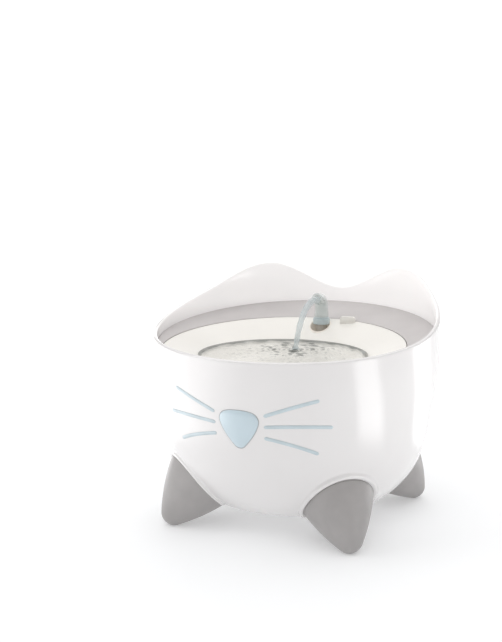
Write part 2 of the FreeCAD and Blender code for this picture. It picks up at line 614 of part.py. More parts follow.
# ------------------------------------------------------------------ pump
px, py, pz = D["pump_half"], D["pump_front"], D["pump_low"]
ml, vl = D["motor_long"], D["volute_long"]
ax = D["axis_z"]
case = box("pump_case", "2 * pump_half", "motor_long + volute_long", "pump_high", V(-px, py, pz))
case_r = doc.addObject("Part::Fillet", "pump_case_rounded")
case_r.Base = case
doc.recompute()
case_r.Edges = [(i + 1, 4.0, 4.0) for i, ed in enumerate(case.Shape.Edges)
                if abs(ed.tangentAt(ed.FirstParameter).y) > 0.9]
outlet = cylinder("pump_outlet", "outlet_r", "outlet_top - axis_z", V(0, D["spout_y"], ax))
blank = fuse("pump_blank", [case_r, outlet])
volute = cylinder("pump_volute", "volute_r", "volute_long + 1", V(0, py + ml, ax), V(0, 1, 0))
well = cylinder("pump_well", "well_r", "magnet_long + 4", V(0, py + ml - D["magnet_long"] - 3, ax), V(0, 1, 0))
duct = cylinder("pump_duct", "outlet_bore", "60", V(0, D["spout_y"], ax))
motor_space = box("pump_motor_space", "2 * pump_half - 6", "motor_long - 8", "pump_high - 6", V(-px + 3, py + 3, pz + 3))
well_wall = cylinder("pump_well_wall", "well_r + 1.4", "motor_long + 4", V(0, py - 1, ax), V(0, 1, 0))
space = cut("pump_space", motor_space, well_wall)
spigot_seat = cylinder("pump_spigot_seat", "shaft_r + 2.1", "3.1", V(0, py + ml - D["magnet_long"] - 6, ax), V(0, 1, 0))
node(cut("pump_housing", blank, fuse("pump_cuts", [volute, well, duct, space, spigot_seat])), "pump_housing")

st_out = box("stator_block", "2 * pump_half - 6.6", "motor_long - 8.6", "pump_high - 6.6", V(-px + 3.3, py + 3.3, pz + 3.3))
st_hole = cylinder("stator_hole", "well_r + 1.7", "motor_long + 6", V(0, py - 2, ax), V(0, 1, 0))
node(cut("pump_stator", st_out, st_hole), "pump_stator")

cover = doc.addObject("PartDesign::Body", "pump_cover")
sk = sketch_on(cover, "CoverOutline", "XZ_Plane")
add_rect(sk, "2 * pump_half", "pump_high", w0=40, h0=30)
cp = pad(cover, sk, "cover_thick")
doc.recompute()
sk = sketch_on(cover, "CoverSlots", "XZ_Plane")
for k in range(5):
    add_rect(sk, "2.4", "9", x=-8.0 + 4.0 * k, y=-3.2 + 9.8 * (k % 2 == 9), w0=2.4, h0=9.0)
doc.recompute()
vol0 = cover.Shape.Volume
pk = pocket(cover, sk, name="Slots")
doc.recompute()
sk = sketch_on(cover, "BushSeat", "XZ_Plane")
add_circle(sk, "bush_r + 0.05", 0.0, ax - pz - D["pump_high"] / 2 + 0.0001)
sk2 = sketch_on(cover, "DialHole", "XZ_Plane")
add_circle(sk2, "dial_pin + 0.06", -15.0, 6.0)
pocket(cover, sk, name="BushPocket")
doc.recompute()
pocket(cover, sk2, name="DialPocket")
doc.recompute()
assert cover.Shape.Volume < vol0 - 50, "the cover's slots cut nothing"
cover.Placement = FreeCAD.Placement(V(0, py + ml + vl + D["cover_thick"] + 0.05, pz + D["pump_high"] / 2), FreeCAD.Rotation())
node(cover, "pump_cover")

dial = doc.addObject("PartDesign::Body", "flow_dial")
sk = sketch_on(dial, "DialDisc", "XZ_Plane")
add_circle(sk, "dial_r")
pad(dial, sk, "dial_thick", "Disc")
sk = sketch_on(dial, "DialPin", "XZ_Plane")
add_circle(sk, "dial_pin")
pf = pad(dial, sk, "dial_thick + cover_thick - 0.4", "Pin")
doc.recompute()
sk = sketch_on(dial, "DialGrip", "XZ_Plane")
add_rect(sk, "dial_r * 1.7", "1.8", w0=9, h0=1.8)
gf = pad(dial, sk, "1.6", "Grip")
gf.Reversed = True
doc.recompute()
dial_at = V(-15.0, py + ml + vl + D["cover_thick"] + 0.35 + D["dial_thick"], pz + D["pump_high"] / 2 + 6.0)
dial.Placement = FreeCAD.Placement(dial_at, FreeCAD.Rotation())
node(dial, "flow_dial")

imp_y0 = py + ml + 1.0
mag = cylinder("magnet_body", "magnet_r", "magnet_long", V(0, imp_y0 - 1.0 - D["magnet_long"] + 1.0, ax), V(0, 1, 0))
mag_bore = cylinder("magnet_bore", "shaft_bore", "60", V(0, py, ax), V(0, 1, 0))
node(cut("impeller_magnet", mag, mag_bore), "impeller_magnet")

imp = doc.addObject("PartDesign::Body", "impeller")
sk = sketch_on(imp, "HubSection", "XZ_Plane")
add_circle(sk, "hub_r")
add_circle(sk, "shaft_bore")
pad(imp, sk, "8", "Hub")
sk = sketch_on(imp, "BladeSection", "XZ_Plane")
add_rect(sk, "impeller_r - hub_r + 0.8", "blade_thick", x=D["hub_r"] - 0.6 + (D["impeller_r"] - D["hub_r"] + 0.8) / 2,
         w0=D["impeller_r"] - D["hub_r"] + 0.8, h0=D["blade_thick"])
blade = pad(imp, sk, "8", "Blade")
doc.recompute()
pat = imp.newObject("PartDesign::PolarPattern", "Blades")
pat.Originals = [blade]
pat.Axis = (plane_of(imp, "Y_Axis"), [""])
pat.Angle = 360
bind(pat, "Occurrences", "blade_count")
imp.Tip = pat
imp.Placement = FreeCAD.Placement(V(0, imp_y0 + 8.0 + 0.2, ax), FreeCAD.Rotation())
node(imp, "impeller")

shaft = cylinder("impeller_shaft", "shaft_r", "magnet_long + volute_long + 8", V(0, py + ml - D["magnet_long"] - 5.5, ax), V(0, 1, 0))
node(shaft, "impeller_shaft")
bush_a = cut("bush_inner", cylinder("bush_inner_body", "bush_r", "2.6", V(0, py + ml - D["magnet_long"] - 5.7, ax), V(0, 1, 0)),
             cylinder("bush_inner_bore", "shaft_r + 0.01", "6", V(0, py + ml - D["magnet_long"] - 6.0, ax), V(0, 1, 0)))
bush_b = cut("bush_outer", cylinder("bush_outer_body", "bush_r", "cover_thick", V(0, py + ml + vl + 0.05, ax), V(0, 1, 0)),
             cylinder("bush_outer_bore", "shaft_r + 0.01", "3.2", V(0, py + ml + vl - 0.2, ax), V(0, 1, 0)))
grp = doc.addObject("Part::Compound", "shaft_bushes")
grp.Links = [bush_a, bush_b]
node(grp, "shaft_bushes")

cups = []
for i, (sx, yy) in enumerate(((-1, py + 8), (1, py + 8), (-1, py + ml + vl - 12), (1, py + ml + vl - 12))):
    lip = doc.addObject("Part::Cone", "suction_cup_%d" % (i + 1))
    bind(lip, "Radius1", "cup_r")
    bind(lip, "Radius2", "cup_r * 0.45")
    bind(lip, "Height", "cup_high")
    lip.Placement = FreeCAD.Placement(V(sx * D["suction_x"], yy, D["floor_z"] + D["wall"] + 0.3), FreeCAD.Rotation())
    hol = doc.addObject("Part::Cone", "suction_cup_hollow_%d" % (i + 1))
    bind(hol, "Radius1", "cup_r - 1")
    bind(hol, "Radius2", "1.2")
    bind(hol, "Height", "cup_high - 2.6")
    hol.Placement = FreeCAD.Placement(V(sx * D["suction_x"], yy, D["floor_z"] + D["wall"] + 0.29), FreeCAD.Rotation())
    cups.append(cut("suction_cup_cut_%d" % (i + 1), lip, hol))
grp = doc.addObject("Part::Compound", "suction_cups")
grp.Links = cups
node(grp, "suction_cups")

riser = doc.addObject("PartDesign::Body", "riser_tube")
sk = sketch_on(riser, "RiserSection")
add_circle(sk, "riser_r")
add_circle(sk, "riser_bore")
pad(riser, sk, "riser_top - riser_low")
riser.Placement = FreeCAD.Placement(V(0, sy, D["riser_low"]), FreeCAD.Rotation())
node(riser, "riser_tube")

# ------------------------------------------------------------------ filter cassette
ch, ct, cw = D["cassette_half"], D["cassette_thick"], D["cassette_wall"]
cas = doc.addObject("PartDesign::Body", "filter_cassette")
sk = sketch_on(cas, "CassetteOutline")
add_rect(sk, "2 * cassette_half", "cassette_thick", w0=80, h0=20)
pad(cas, sk, "cassette_high", "Block")
doc.recompute()
v0 = cas.Shape.Volume
sk = sketch_on(cas, "CassetteHollow")
add_rect(sk, "2 * cassette_half - 2 * cassette_wall", "cassette_thick - 2 * cassette_wall", w0=76, h0=16)
bind(sk, "AttachmentOffset.Base.z", "cassette_wall")
pocket(cas, sk, "cassette_high", reverse=True, name="Hollow")
doc.recompute()
assert cas.Shape.Volume < 0.6 * v0, "the cassette isn't hollow"
sk = sketch_on(cas, "CassetteWindows", "XZ_Plane")
for i in range(8):
    for j in range(3):
        add_rect(sk, "7", "14", x=-38.5 + 11.0 * i, y=14.0 + 19.0 * j, w0=7.0, h0=14.0)
pk = pocket(cas, sk, name="Windows")
doc.recompute()
cas.Placement = FreeCAD.Placement(V(0, D["cassette_y"], D["cassette_low"]), FreeCAD.Rotation())
node(cas, "filter_cassette")
node(box("filter_pad", "2 * cassette_half - 2 * cassette_wall - 0.6", "cassette_thick / 2 - cassette_wall - 0.4",
         "cassette_high - cassette_wall - 0.8",
         V(-ch + cw + 0.3, D["cassette_y"] + 0.1, D["cassette_low"] + cw + 0.2)), "filter_pad")
node(box("filter_foam", "2 * cassette_half - 2 * cassette_wall - 0.6", "cassette_thick / 2 - cassette_wall - 0.4",
         "cassette_high - cassette_wall - 0.8",
         V(-ch + cw + 0.3, D["cassette_y"] - ct / 2 + cw + 0.2, D["cassette_low"] + cw + 0.2)), "filter_foam")
lid = doc.addObject("PartDesign::Body", "filter_lid")
sk = sketch_on(lid, "LidOutline")
add_rect(sk, "2 * cassette_half", "cassette_thick", w0=80, h0=20)
pad(lid, sk, "lid_thick", "Plate")
doc.recompute()
sk = sketch_on(lid, "LidHandle")
add_rect(sk, "30", "5", w0=30, h0=5)
bind(sk, "AttachmentOffset.Base.z", "lid_thick")
pad(lid, sk, "12", "Handle")
doc.recompute()
sk = sketch_on(lid, "HandleHole", "XZ_Plane")
add_rect(sk, "18", "5", x=0.0, y=8.5, w0=18, h0=5)
pocket(lid, sk, name="HandleWindow")
doc.recompute()
lid.Placement = FreeCAD.Placement(V(0, D["cassette_y"], D["cassette_low"] + D["cassette_high"] + 0.05), FreeCAD.Rotation())
node(lid, "filter_lid")

# ------------------------------------------------------------------ power inlet
sz = D["socket_z"]
body_c = cylinder("socket_barrel", "socket_r", "socket_face - socket_back", V(0, D["socket_back"], sz), V(0, 1, 0))
flange = cylinder("socket_flange", "socket_flange_r", "1.5", V(0, D["socket_face"] - 1.5, sz), V(0, 1, 0))
jack = cylinder("socket_jack", "jack_r", "9.5", V(0, D["socket_face"] - 9.0, sz), V(0, 1, 0))
pin = cylinder("socket_pin", "jack_pin", "8", V(0, D["socket_face"] - 9.5, sz), V(0, 1, 0))
node(fuse("power_socket", [cut("socket_hollowed", fuse("socket_blank", [body_c, flange]), jack), pin]), "power_socket")
node(cut("socket_seal", cylinder("socket_seal_ring", "socket_flange_r - 0.2", "0.6", V(0, D["socket_face"] - 2.15, sz), V(0, 1, 0)),
         cylinder("socket_seal_bore", "socket_r + 0.05", "3", V(0, D["socket_face"] - 3, sz), V(0, 1, 0))), "socket_seal")
nut = doc.addObject("Part::Prism", "socket_nut_hex")
nut.Polygon = 6
bind(nut, "Circumradius", "nut_r")
bind(nut, "Height", "nut_thick - 0.4")
nut.Placement = FreeCAD.Placement(V(0, 109.0 - D["nut_thick"] + 0.3, sz), FreeCAD.Rotation(V(0, 0, 1), V(0, 1, 0)))
node(cut("socket_nut", nut, cylinder("socket_nut_bore", "socket_r + 0.03", "12", V(0, 100, sz), V(0, 1, 0))), "socket_nut")

# ------------------------------------------------------------------ pump lead
LEAD = [V(-px - 0.05, 36, 50), V(-46, 36, 50), V(-63, 45, 62), V(-67, 54, 82), V(-60, 63, 102),
        V(-44, 68, 116), V(-24, 71, 122), V(-8, 79, sz), V(0, 92, sz), V(0, D["socket_back"] - 0.05, sz)]


def lead_path(pts):
    edges = []
    last = pts[0]
    total = 0.0
    for i in range(1, len(pts) - 1):
        a, p, b = pts[i - 1], pts[i], pts[i + 1]
        u = (a - p).normalize()
        w = (b - p).normalize()
        turn = math.pi - u.getAngle(w)
        run = min((a - p).Length, (b - p).Length)
        cutoff = 0.45 * run
        r = cutoff / math.tan(turn / 2)
        print("lead point %d turn %.0f radius %.1f mm" % (i, math.degrees(turn), r))
        q0, q1 = p + u * cutoff, p + w * cutoff
        bis = (u + w).normalize()
        mid = p + bis * (r / math.cos(turn / 2) - r)
        edges.append(Part.LineSegment(last, q0).toShape())
        edges.append(Part.Arc(q0, mid, q1).toShape())
        last = q1
    edges.append(Part.LineSegment(last, pts[-1]).toShape())
    return Part.Wire(edges)


path = lead_path(LEAD)
start_dir = (LEAD[1] - LEAD[0]).normalize()
ring_w = Part.Wire([Part.Circle(LEAD[0], start_dir, D["lead_r"]).toShape()])
lead = path.makePipeShell([ring_w], True, False)
want = math.pi * D["lead_r"] ** 2 * path.Length
print("lead length %.1f mm, volume ratio %.4f" % (path.Length, lead.Volume / want))
assert abs(lead.Volume / want - 1) < 0.01
feature("pump_lead", lead)
clips = []
for i, (k, f) in enumerate(((1, 0.5), (3, 0.5), (5, 0.5))):
    a, b = LEAD[k], LEAD[k + 1]
    mid = a + (b - a) * f
    d = (b - a).normalize()
    ring3 = Part.makeCylinder(D["clip_r"], 5.0, mid - d * 2.5, d).cut(
        Part.makeCylinder(D["lead_r"] + 0.02, 9.0, mid - d * 4.5, d))
    out = V(mid.x, mid.y, 0).normalize()
    clips.append(ring3)
    print("clip", i, [round(q, 1) for q in mid], "radius", round(math.hypot(mid.x, mid.y), 1))
feature("lead_clips", Part.makeCompound(clips))

# ------------------------------------------------------------------ checks and files
doc.recompute()
# everything above is drawn from the bowl's own datum; the floor under the feet becomes zero
for _label, obj in NODES:
    obj.Placement = FreeCAD.Placement(obj.Placement.Base - V(0, 0, D["floor_drop"]), obj.Placement.Rotation)
doc.recompute()
bad = []
for o in doc.Objects:
    if "Invalid" in o.State or "Error" in o.State:
        bad.append("%s %s" % (o.Name, o.State))
for label, obj in NODES:
    sh = obj.Shape
    if sh.isNull() or not sh.isValid() or not sh.Solids or sh.Volume <= 0:
        bad.append("%s shape" % label)
    print("%-24s %9.1f mm3 %2d solid(s) z %.1f..%.1f valid=%s" % (
        label, sh.Volume, len(sh.Solids), sh.BoundBox.ZMin, sh.BoundBox.ZMax, sh.isValid()))
if bad:
    raise SystemExit("not valid: " + "; ".join(bad))
os.makedirs("parts", exist_ok=True)
for old in os.listdir("parts"):
    if old.endswith(".step"):
        os.remove(os.path.join("parts", old))
for label, obj in NODES:
    obj.Shape.exportStep("parts/%s.step" % label)
print("nodes", len(NODES))
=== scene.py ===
# Pet water fountain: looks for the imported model.  Metres, same frame as the model.
import bpy
import bmesh
import math
import numpy as np
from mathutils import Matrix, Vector


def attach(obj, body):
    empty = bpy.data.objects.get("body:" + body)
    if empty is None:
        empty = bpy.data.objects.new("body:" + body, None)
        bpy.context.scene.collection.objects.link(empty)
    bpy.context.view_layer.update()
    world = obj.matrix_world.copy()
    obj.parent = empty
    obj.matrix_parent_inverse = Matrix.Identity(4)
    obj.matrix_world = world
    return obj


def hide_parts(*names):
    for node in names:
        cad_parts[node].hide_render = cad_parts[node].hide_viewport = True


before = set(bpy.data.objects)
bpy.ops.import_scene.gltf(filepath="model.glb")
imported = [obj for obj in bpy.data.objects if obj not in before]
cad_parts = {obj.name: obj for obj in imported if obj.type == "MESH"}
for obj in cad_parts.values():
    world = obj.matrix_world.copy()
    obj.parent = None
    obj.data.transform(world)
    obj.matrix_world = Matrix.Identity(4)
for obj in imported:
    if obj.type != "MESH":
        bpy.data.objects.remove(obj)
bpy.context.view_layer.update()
MM = 0.001


# ------------------------------------------------------------------ curves
def nat_spline(x, y):
    # natural cubic spline through the points, as a function of arrays
    x, y = np.asarray(x, float), np.asarray(y, float)
    n = len(x)
    h = np.diff(x)
    A = np.zeros((n, n))
    b = np.zeros(n)
    A[0, 0] = A[-1, -1] = 1
    for i in range(1, n - 1):
        A[i, i - 1], A[i, i], A[i, i + 1] = h[i - 1], 2 * (h[i - 1] + h[i]), h[i]
        b[i] = 6 * ((y[i + 1] - y[i]) / h[i] - (y[i] - y[i - 1]) / h[i - 1])
    m = np.linalg.solve(A, b)

    def f(q):
        q = np.asarray(q, float)
        i = np.clip(np.searchsorted(x, q) - 1, 0, n - 2)
        d0, d1, hh = q - x[i], x[i + 1] - q, h[i]
        return (m[i] * d1 ** 3 + m[i + 1] * d0 ** 3) / (6 * hh) + (y[i] / hh - m[i] * hh / 6) * d1 + \
            (y[i + 1] / hh - m[i + 1] * hh / 6) * d0
    return f


OUTER = [(72.0, 22.4), (77.5, 24.0), (83.5, 28.0), (92.5, 36.0), (101.8, 48.1), (108.9, 64.5), (113.4, 81.9),
         (117.6, 105.3), (120.3, 125.0), (121.2, 142.0), (121.0, 154.0), (120.6, 175.5), (120.35, 192.0), (120.3, 214.0)]
INNER = [(69.5, 25.7), (74.5, 27.1), (81.3, 30.8), (90.0, 38.3), (98.8, 49.8), (105.7, 65.5), (110.3, 82.6),
         (114.2, 104.0), (116.3, 118.0), (117.2, 130.0), (117.2, 142.0)]
RIM = [(0, 155.8), (15, 156.1), (30, 156.8), (45, 158.2), (60, 160.7), (75, 164.7), (90, 170.7),
       (105, 178.8), (120, 189.1), (127.5, 196.3), (135, 203.2), (142.5, 207.4), (150, 207.7),
       (157.5, 203.0), (165, 195.6), (172.5, 188.6), (180, 185.5)]


def chord_curve(pts):
    p = np.array(pts, float)
    t = np.concatenate([[0], np.cumsum(np.hypot(*np.diff(p, axis=0).T))])
    return nat_spline(t, p[:, 0]), nat_spline(t, p[:, 1]), t[-1]


out_r, out_z, out_len = chord_curve(OUTER)
in_r, in_z, in_len = chord_curve(INNER)
tt_ = np.linspace(0, out_len, 4000)
wall_r = lambda z: np.interp(z, out_z(tt_), out_r(tt_))
ra = [a for a, z in RIM] + [360 - a for a, z in reversed(RIM[1:-1])]
rz = [z for a, z in RIM] + [z for a, z in reversed(RIM[1:-1])]
rim_z = nat_spline([a - 360 for a in ra] + ra + [a + 360 for a in ra], rz * 3)


# ------------------------------------------------------------------ mesh helpers
DROP = 5.0   # shapes are drawn from the bowl's own datum, which lies this far under the floor


def add_mesh(name, verts, faces, smooth=True):
    me = bpy.data.meshes.new(name)
    me.from_pydata([(float(v[0]) * MM, float(v[1]) * MM, (float(v[2]) - DROP) * MM) for v in verts], [], [tuple(int(i) for i in f) for f in faces])
    me.validate()
    me.update()
    if smooth:
        me.polygons.foreach_set("use_smooth", [True] * len(me.polygons))
    ob = bpy.data.objects.new(name, me)
    bpy.context.scene.collection.objects.link(ob)
    return ob


def grid_faces(rows, cols, wrap=True, base=0, flip=False):
    out = []
    for i in range(rows - 1):
        for j in range(cols if wrap else cols - 1):
            k = (j + 1) % cols
            q = (base + i * cols + j, base + i * cols + k, base + (i + 1) * cols + k, base + (i + 1) * cols + j)
            out.append(q[::-1] if flip else q)
    return out


def join(name, parts):
    verts, faces = [], []
    for v, f in parts:
        b = len(verts)
        verts += [tuple(p) for p in v]
        faces += [tuple(i + b for i in q) for q in f]
    return add_mesh(name, verts, faces)


def revolve(profile, cx, cy, cols=96, closed=True):
    # a ring of revolution about a vertical axis from a profile of (r, z)
    v = []
    for r, z in profile:
        for j in range(cols):
            a = 2 * math.pi * j / cols
            v.append((cx + r * math.cos(a), cy + r * math.sin(a), z))
    n = len(profile)
    f = grid_faces(n, cols, True)
    if closed:
        for j in range(cols):
            k = (j + 1) % cols
            f.append(((n - 1) * cols + j, (n - 1) * cols + k, k, j))
    return v, f


def rounded_profile(r0, z0, r1, z1, e, n=4):
    # rectangle in (r, z) with rounded corners, as a closed loop
    out = []
    for (cr, cz, a0) in ((r1 - e, z0 + e, -90), (r1 - e, z1 - e, 0), (r0 + e, z1 - e, 90), (r0 + e, z0 + e, 180)):
        for i in range(n + 1):
            a = math.radians(a0 + 90.0 * i / n)
            out.append((cr + e * math.cos(a), cz + e * math.sin(a)))
    return out


def fix_normals(ob):
    bm = bmesh.new()
    bm.from_mesh(ob.data)
    bmesh.ops.remove_doubles(bm, verts=bm.verts, dist=1e-6)
    bmesh.ops.recalc_face_normals(bm, faces=bm.faces)
    bm.to_mesh(ob.data)
    bm.free()
    ob.data.update()
    return ob


def bevel(ob, width=0.0006, seg=2, angle=35):
    m = ob.modifiers.new("edges", "BEVEL")
    m.width = width
    m.segments = seg
    m.limit_method = "ANGLE"
    m.angle_limit = math.radians(angle)
    m.harden_normals = False
    return ob


# ------------------------------------------------------------------ materials
def material(name, color, rough=0.35, spec=0.5, coat=0.0, coat_rough=0.08, vary=0.03, bump=0.02, scale=60.0,
             bump_scale=400.0, alpha=1.0, metallic=0.0, sss=0.0, rough_vary=0.05, ior=1.46, second=None):
    m = bpy.data.materials.new(name)
    m.use_nodes = True
    nt = m.node_tree
    b = nt.nodes["Principled BSDF"]
    tc = nt.nodes.new("ShaderNodeTexCoord")
    n1 = nt.nodes.new("ShaderNodeTexNoise")
    n1.inputs["Scale"].default_value = scale
    n1.inputs["Detail"].default_value = 3.0
    nt.links.new(tc.outputs["Object"], n1.inputs["Vector"])
    ramp = nt.nodes.new("ShaderNodeValToRGB")
    c0 = [max(0, c * (1 - vary)) for c in color]
    c1 = second or [min(1, c * (1 + vary)) for c in color]
    ramp.color_ramp.elements[0].position = 0.35
    ramp.color_ramp.elements[1].position = 0.65
    ramp.color_ramp.elements[0].color = (*c0, 1)
    ramp.color_ramp.elements[1].color = (*c1, 1)
    nt.links.new(n1.outputs["Fac"], ramp.inputs["Fac"])
    nt.links.new(ramp.outputs["Color"], b.inputs["Base Color"])
    mr = nt.nodes.new("ShaderNodeMapRange")
    mr.inputs["To Min"].default_value = max(0.0, rough - rough_vary)
    mr.inputs["To Max"].default_value = rough + rough_vary
    nt.links.new(n1.outputs["Fac"], mr.inputs["Value"])
    nt.links.new(mr.outputs["Result"], b.inputs["Roughness"])
    if bump:
        n2 = nt.nodes.new("ShaderNodeTexNoise")
        n2.inputs["Scale"].default_value = bump_scale
        n2.inputs["Detail"].default_value = 2.0
        nt.links.new(tc.outputs["Object"], n2.inputs["Vector"])
        bp = nt.nodes.new("ShaderNodeBump")
        bp.inputs["Strength"].default_value = bump
        bp.inputs["Distance"].default_value = 0.0004
        nt.links.new(n2.outputs["Fac"], bp.inputs["Height"])
        nt.links.new(bp.outputs["Normal"], b.inputs["Normal"])
    b.inputs["Metallic"].default_value = metallic
    b.inputs["Alpha"].default_value = alpha
    b.inputs["IOR"].default_value = ior
    b.inputs["Specular IOR Level"].default_value = spec
    b.inputs["Coat Weight"].default_value = coat
    b.inputs["Coat Roughness"].default_value = coat_rough
    if sss:
        b.inputs["Subsurface Weight"].default_value = sss
        b.inputs["Subsurface Radius"].default_value = (0.002, 0.002, 0.002)
    return m


WHITE = material("white_gloss", (0.815, 0.80, 0.797), rough=0.16, coat=0.7, coat_rough=0.05, vary=0.008, bump=0.012,
                 scale=25, bump_scale=900, rough_vary=0.02)
TRAY = material("tray_white", (0.88, 0.86, 0.815), rough=0.36, coat=0.08, coat_rough=0.2, vary=0.01, bump=0.015,
                scale=30, bump_scale=900, rough_vary=0.03)
RING = material("pale_grey", (0.54, 0.515, 0.51), rough=0.42, vary=0.03, bump=0.03, scale=40, bump_scale=1200)
FOOT = material("warm_grey", (0.40, 0.385, 0.38), rough=0.42, vary=0.04, bump=0.05, scale=70, bump_scale=1500,
                coat=0.1, coat_rough=0.25)
RUBBER = material("grey_rubber", (0.30, 0.29, 0.285), rough=0.75, vary=0.08, bump=0.12, scale=150, bump_scale=1800)
SOFT = material("soft_rubber", (0.42, 0.43, 0.44), rough=0.6, vary=0.06, bump=0.08, scale=120, bump_scale=1500)
STEEL = material("steel", (0.56, 0.56, 0.57), rough=0.28, metallic=1.0, vary=0.06, bump=0.05, scale=300, bump_scale=2500)
BLUE = material("blue_window", (0.58, 0.69, 0.75), rough=0.12, coat=0.8, coat_rough=0.03, vary=0.03, bump=0.01, scale=35,
                bump_scale=800, sss=0.15)
INLAY = material("blue_inlay", (0.56, 0.65, 0.69), rough=0.3, coat=0.3, vary=0.04, bump=0.02, scale=90)
GREYP = material("grey_plastic", (0.52, 0.60, 0.62), rough=0.35, vary=0.05, bump=0.05, scale=90, bump_scale=1500, coat=0.2)
DARKP = material("dark_plastic", (0.035, 0.035, 0.04), rough=0.45, vary=0.15, bump=0.1, scale=90, bump_scale=1800)
CLEAR = material("clear_tube", (0.80, 0.85, 0.84), rough=0.08, alpha=0.5, vary=0.05, bump=0.02, scale=120, coat=0.6,
                 coat_rough=0.03)
COPPER = material("copper_coil", (0.62, 0.27, 0.13), rough=0.35, metallic=0.7, vary=0.12, bump=0.3, scale=400, bump_scale=1500)
MAGNET = material("magnet", (0.06, 0.06, 0.065), rough=0.4, metallic=0.6, vary=0.2, bump=0.1, scale=200)
WPLAS = material("white_plastic", (0.8, 0.8, 0.79), rough=0.4, vary=0.02, bump=0.04, scale=100)
CARBON = material("carbon", (0.03, 0.03, 0.032), rough=0.85, vary=0.5, bump=0.8, scale=500, bump_scale=900,
                  second=(0.10, 0.10, 0.105))
FOAM = material("foam", (0.05, 0.075, 0.10), rough=0.9, vary=0.4, bump=0.9, scale=700, bump_scale=1300)
SHEATH = material("lead_sheath", (0.72, 0.72, 0.71), rough=0.45, vary=0.02, bump=0.05, scale=100)
WATER = material("water", (0.80, 0.86, 0.86), rough=0.02, alpha=0.16, vary=0.02, bump=0.05, scale=60, bump_scale=160,
                 spec=0.8, ior=1.333, rough_vary=0.0)
STREAM = material("water_stream", (0.62, 0.70, 0.72), rough=0.03, alpha=0.42, vary=0.1, bump=0.2, scale=120, bump_scale=250,
                  spec=0.9, ior=1.333, rough_vary=0.0, coat=0.5, coat_rough=0.02)

# painted light: an emission glow brightens the inner face above the tray, standing in for light that soaks through the
# thin ears and rim
ht = WHITE.node_tree
hb = ht.nodes["Principled BSDF"]
htc = ht.nodes.new("ShaderNodeTexCoord")
hsp = ht.nodes.new("ShaderNodeSeparateXYZ")
ht.links.new(htc.outputs["Object"], hsp.inputs["Vector"])
hxy = ht.nodes.new("ShaderNodeCombineXYZ")
ht.links.new(hsp.outputs["X"], hxy.inputs["X"])
ht.links.new(hsp.outputs["Y"], hxy.inputs["Y"])
hl = ht.nodes.new("ShaderNodeVectorMath")
hl.operation = "LENGTH"
ht.links.new(hxy.outputs["Vector"], hl.inputs[0])
hin = ht.nodes.new("ShaderNodeMapRange")
hin.inputs["From Min"].default_value = 0.1186
hin.inputs["From Max"].default_value = 0.1180
ht.links.new(hl.outputs["Value"], hin.inputs["Value"])
hup = ht.nodes.new("ShaderNodeMapRange")
hup.inputs["From Min"].default_value = 0.138
hup.inputs["From Max"].default_value = 0.168
ht.links.new(hsp.outputs["Z"], hup.inputs["Value"])
hm = ht.nodes.new("ShaderNodeMath")
hm.operation = "MULTIPLY"
ht.links.new(hin.outputs["Result"], hm.inputs[0])
ht.links.new(hup.outputs["Result"], hm.inputs[1])
hk = ht.nodes.new("ShaderNodeMath")
hk.operation = "MULTIPLY"
hk.inputs[1].default_value = 0.30
ht.links.new(hm.outputs["Value"], hk.inputs[0])
# painted glow: emission strength 0.30 on the masked band of the inner face
ht.links.new(hk.outputs["Value"], hb.inputs["Emission Strength"])
hb.inputs["Emission Color"].default_value = (1.0, 0.985, 0.98, 1)
TAUPE = material("stem_taupe", (0.50, 0.47, 0.43), rough=0.4, vary=0.06, bump=0.05, scale=90, bump_scale=1500)
# painted shade: the water is clear where it lies flat and is painted darker and less see-through where a ripple turns
# away, standing in for the dark ripple slopes
wt = WATER.node_tree
wb = wt.nodes["Principled BSDF"]
geo = wt.nodes.new("ShaderNodeNewGeometry")
sep = wt.nodes.new("ShaderNodeSeparateXYZ")
wt.links.new(geo.outputs["Normal"], sep.inputs["Vector"])
tilt = wt.nodes.new("ShaderNodeMapRange")
tilt.inputs["From Min"].default_value = 0.993
tilt.inputs["From Max"].default_value = 0.93
flat = wt.nodes.new("ShaderNodeMath")
flat.operation = "ABSOLUTE"
wt.links.new(sep.outputs["Z"], flat.inputs[0])
wt.links.new(flat.outputs["Value"], tilt.inputs["Value"])
wr = wt.nodes.new("ShaderNodeValToRGB")
wr.color_ramp.elements[0].color = (0.86, 0.87, 0.84, 1)
wr.color_ramp.elements[1].color = (0.12, 0.13, 0.12, 1)
wt.links.new(tilt.outputs["Result"], wr.inputs["Fac"])
# painted shade: the ramp darkens the base colour on tilted ripple faces
wt.links.new(wr.outputs["Color"], wb.inputs["Base Color"])
wa = wt.nodes.new("ShaderNodeMapRange")
wa.inputs["To Min"].default_value = 0.14
wa.inputs["To Max"].default_value = 0.72
wt.links.new(tilt.outputs["Result"], wa.inputs["Value"])
wt.links.new(wa.outputs["Result"], wb.inputs["Alpha"])

NODE_MATS = {
    "bowl_shell": WHITE, "drinking_tray": TRAY, "tray_ring": RING, "foot_front_left": FOOT, "foot_front_right": FOOT,
    "foot_rear_left": FOOT, "foot_rear_right": FOOT, "foot_pads": RUBBER, "foot_screws": STEEL, "impeller_shaft": STEEL,
    "nose_window": BLUE, "nose_window_seal": SOFT, "socket_seal": SOFT, "spout_o_ring": SOFT, "suction_cups": SOFT,
    "nose_window_clamp": GREYP, "shaft_bushes": GREYP, "lead_clips": GREYP, "filter_cassette": GREYP, "filter_lid": GREYP,
    "whisker_inlays_left": INLAY, "whisker_inlays_right": INLAY, "spout_stem": TAUPE, "spout_collar": GREYP,
    "spout_tube": CLEAR, "riser_tube": CLEAR, "pump_housing": DARKP, "pump_cover": DARKP, "flow_dial": GREYP,
    "power_socket": DARKP, "socket_nut": DARKP, "pump_stator": COPPER, "impeller_magnet": MAGNET, "impeller": WPLAS,
    "filter_pad": CARBON, "filter_foam": FOAM, "pump_lead": SHEATH}
for name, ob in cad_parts.items():
    ob.data.materials.clear()
    ob.data.materials.append(NODE_MATS[name])


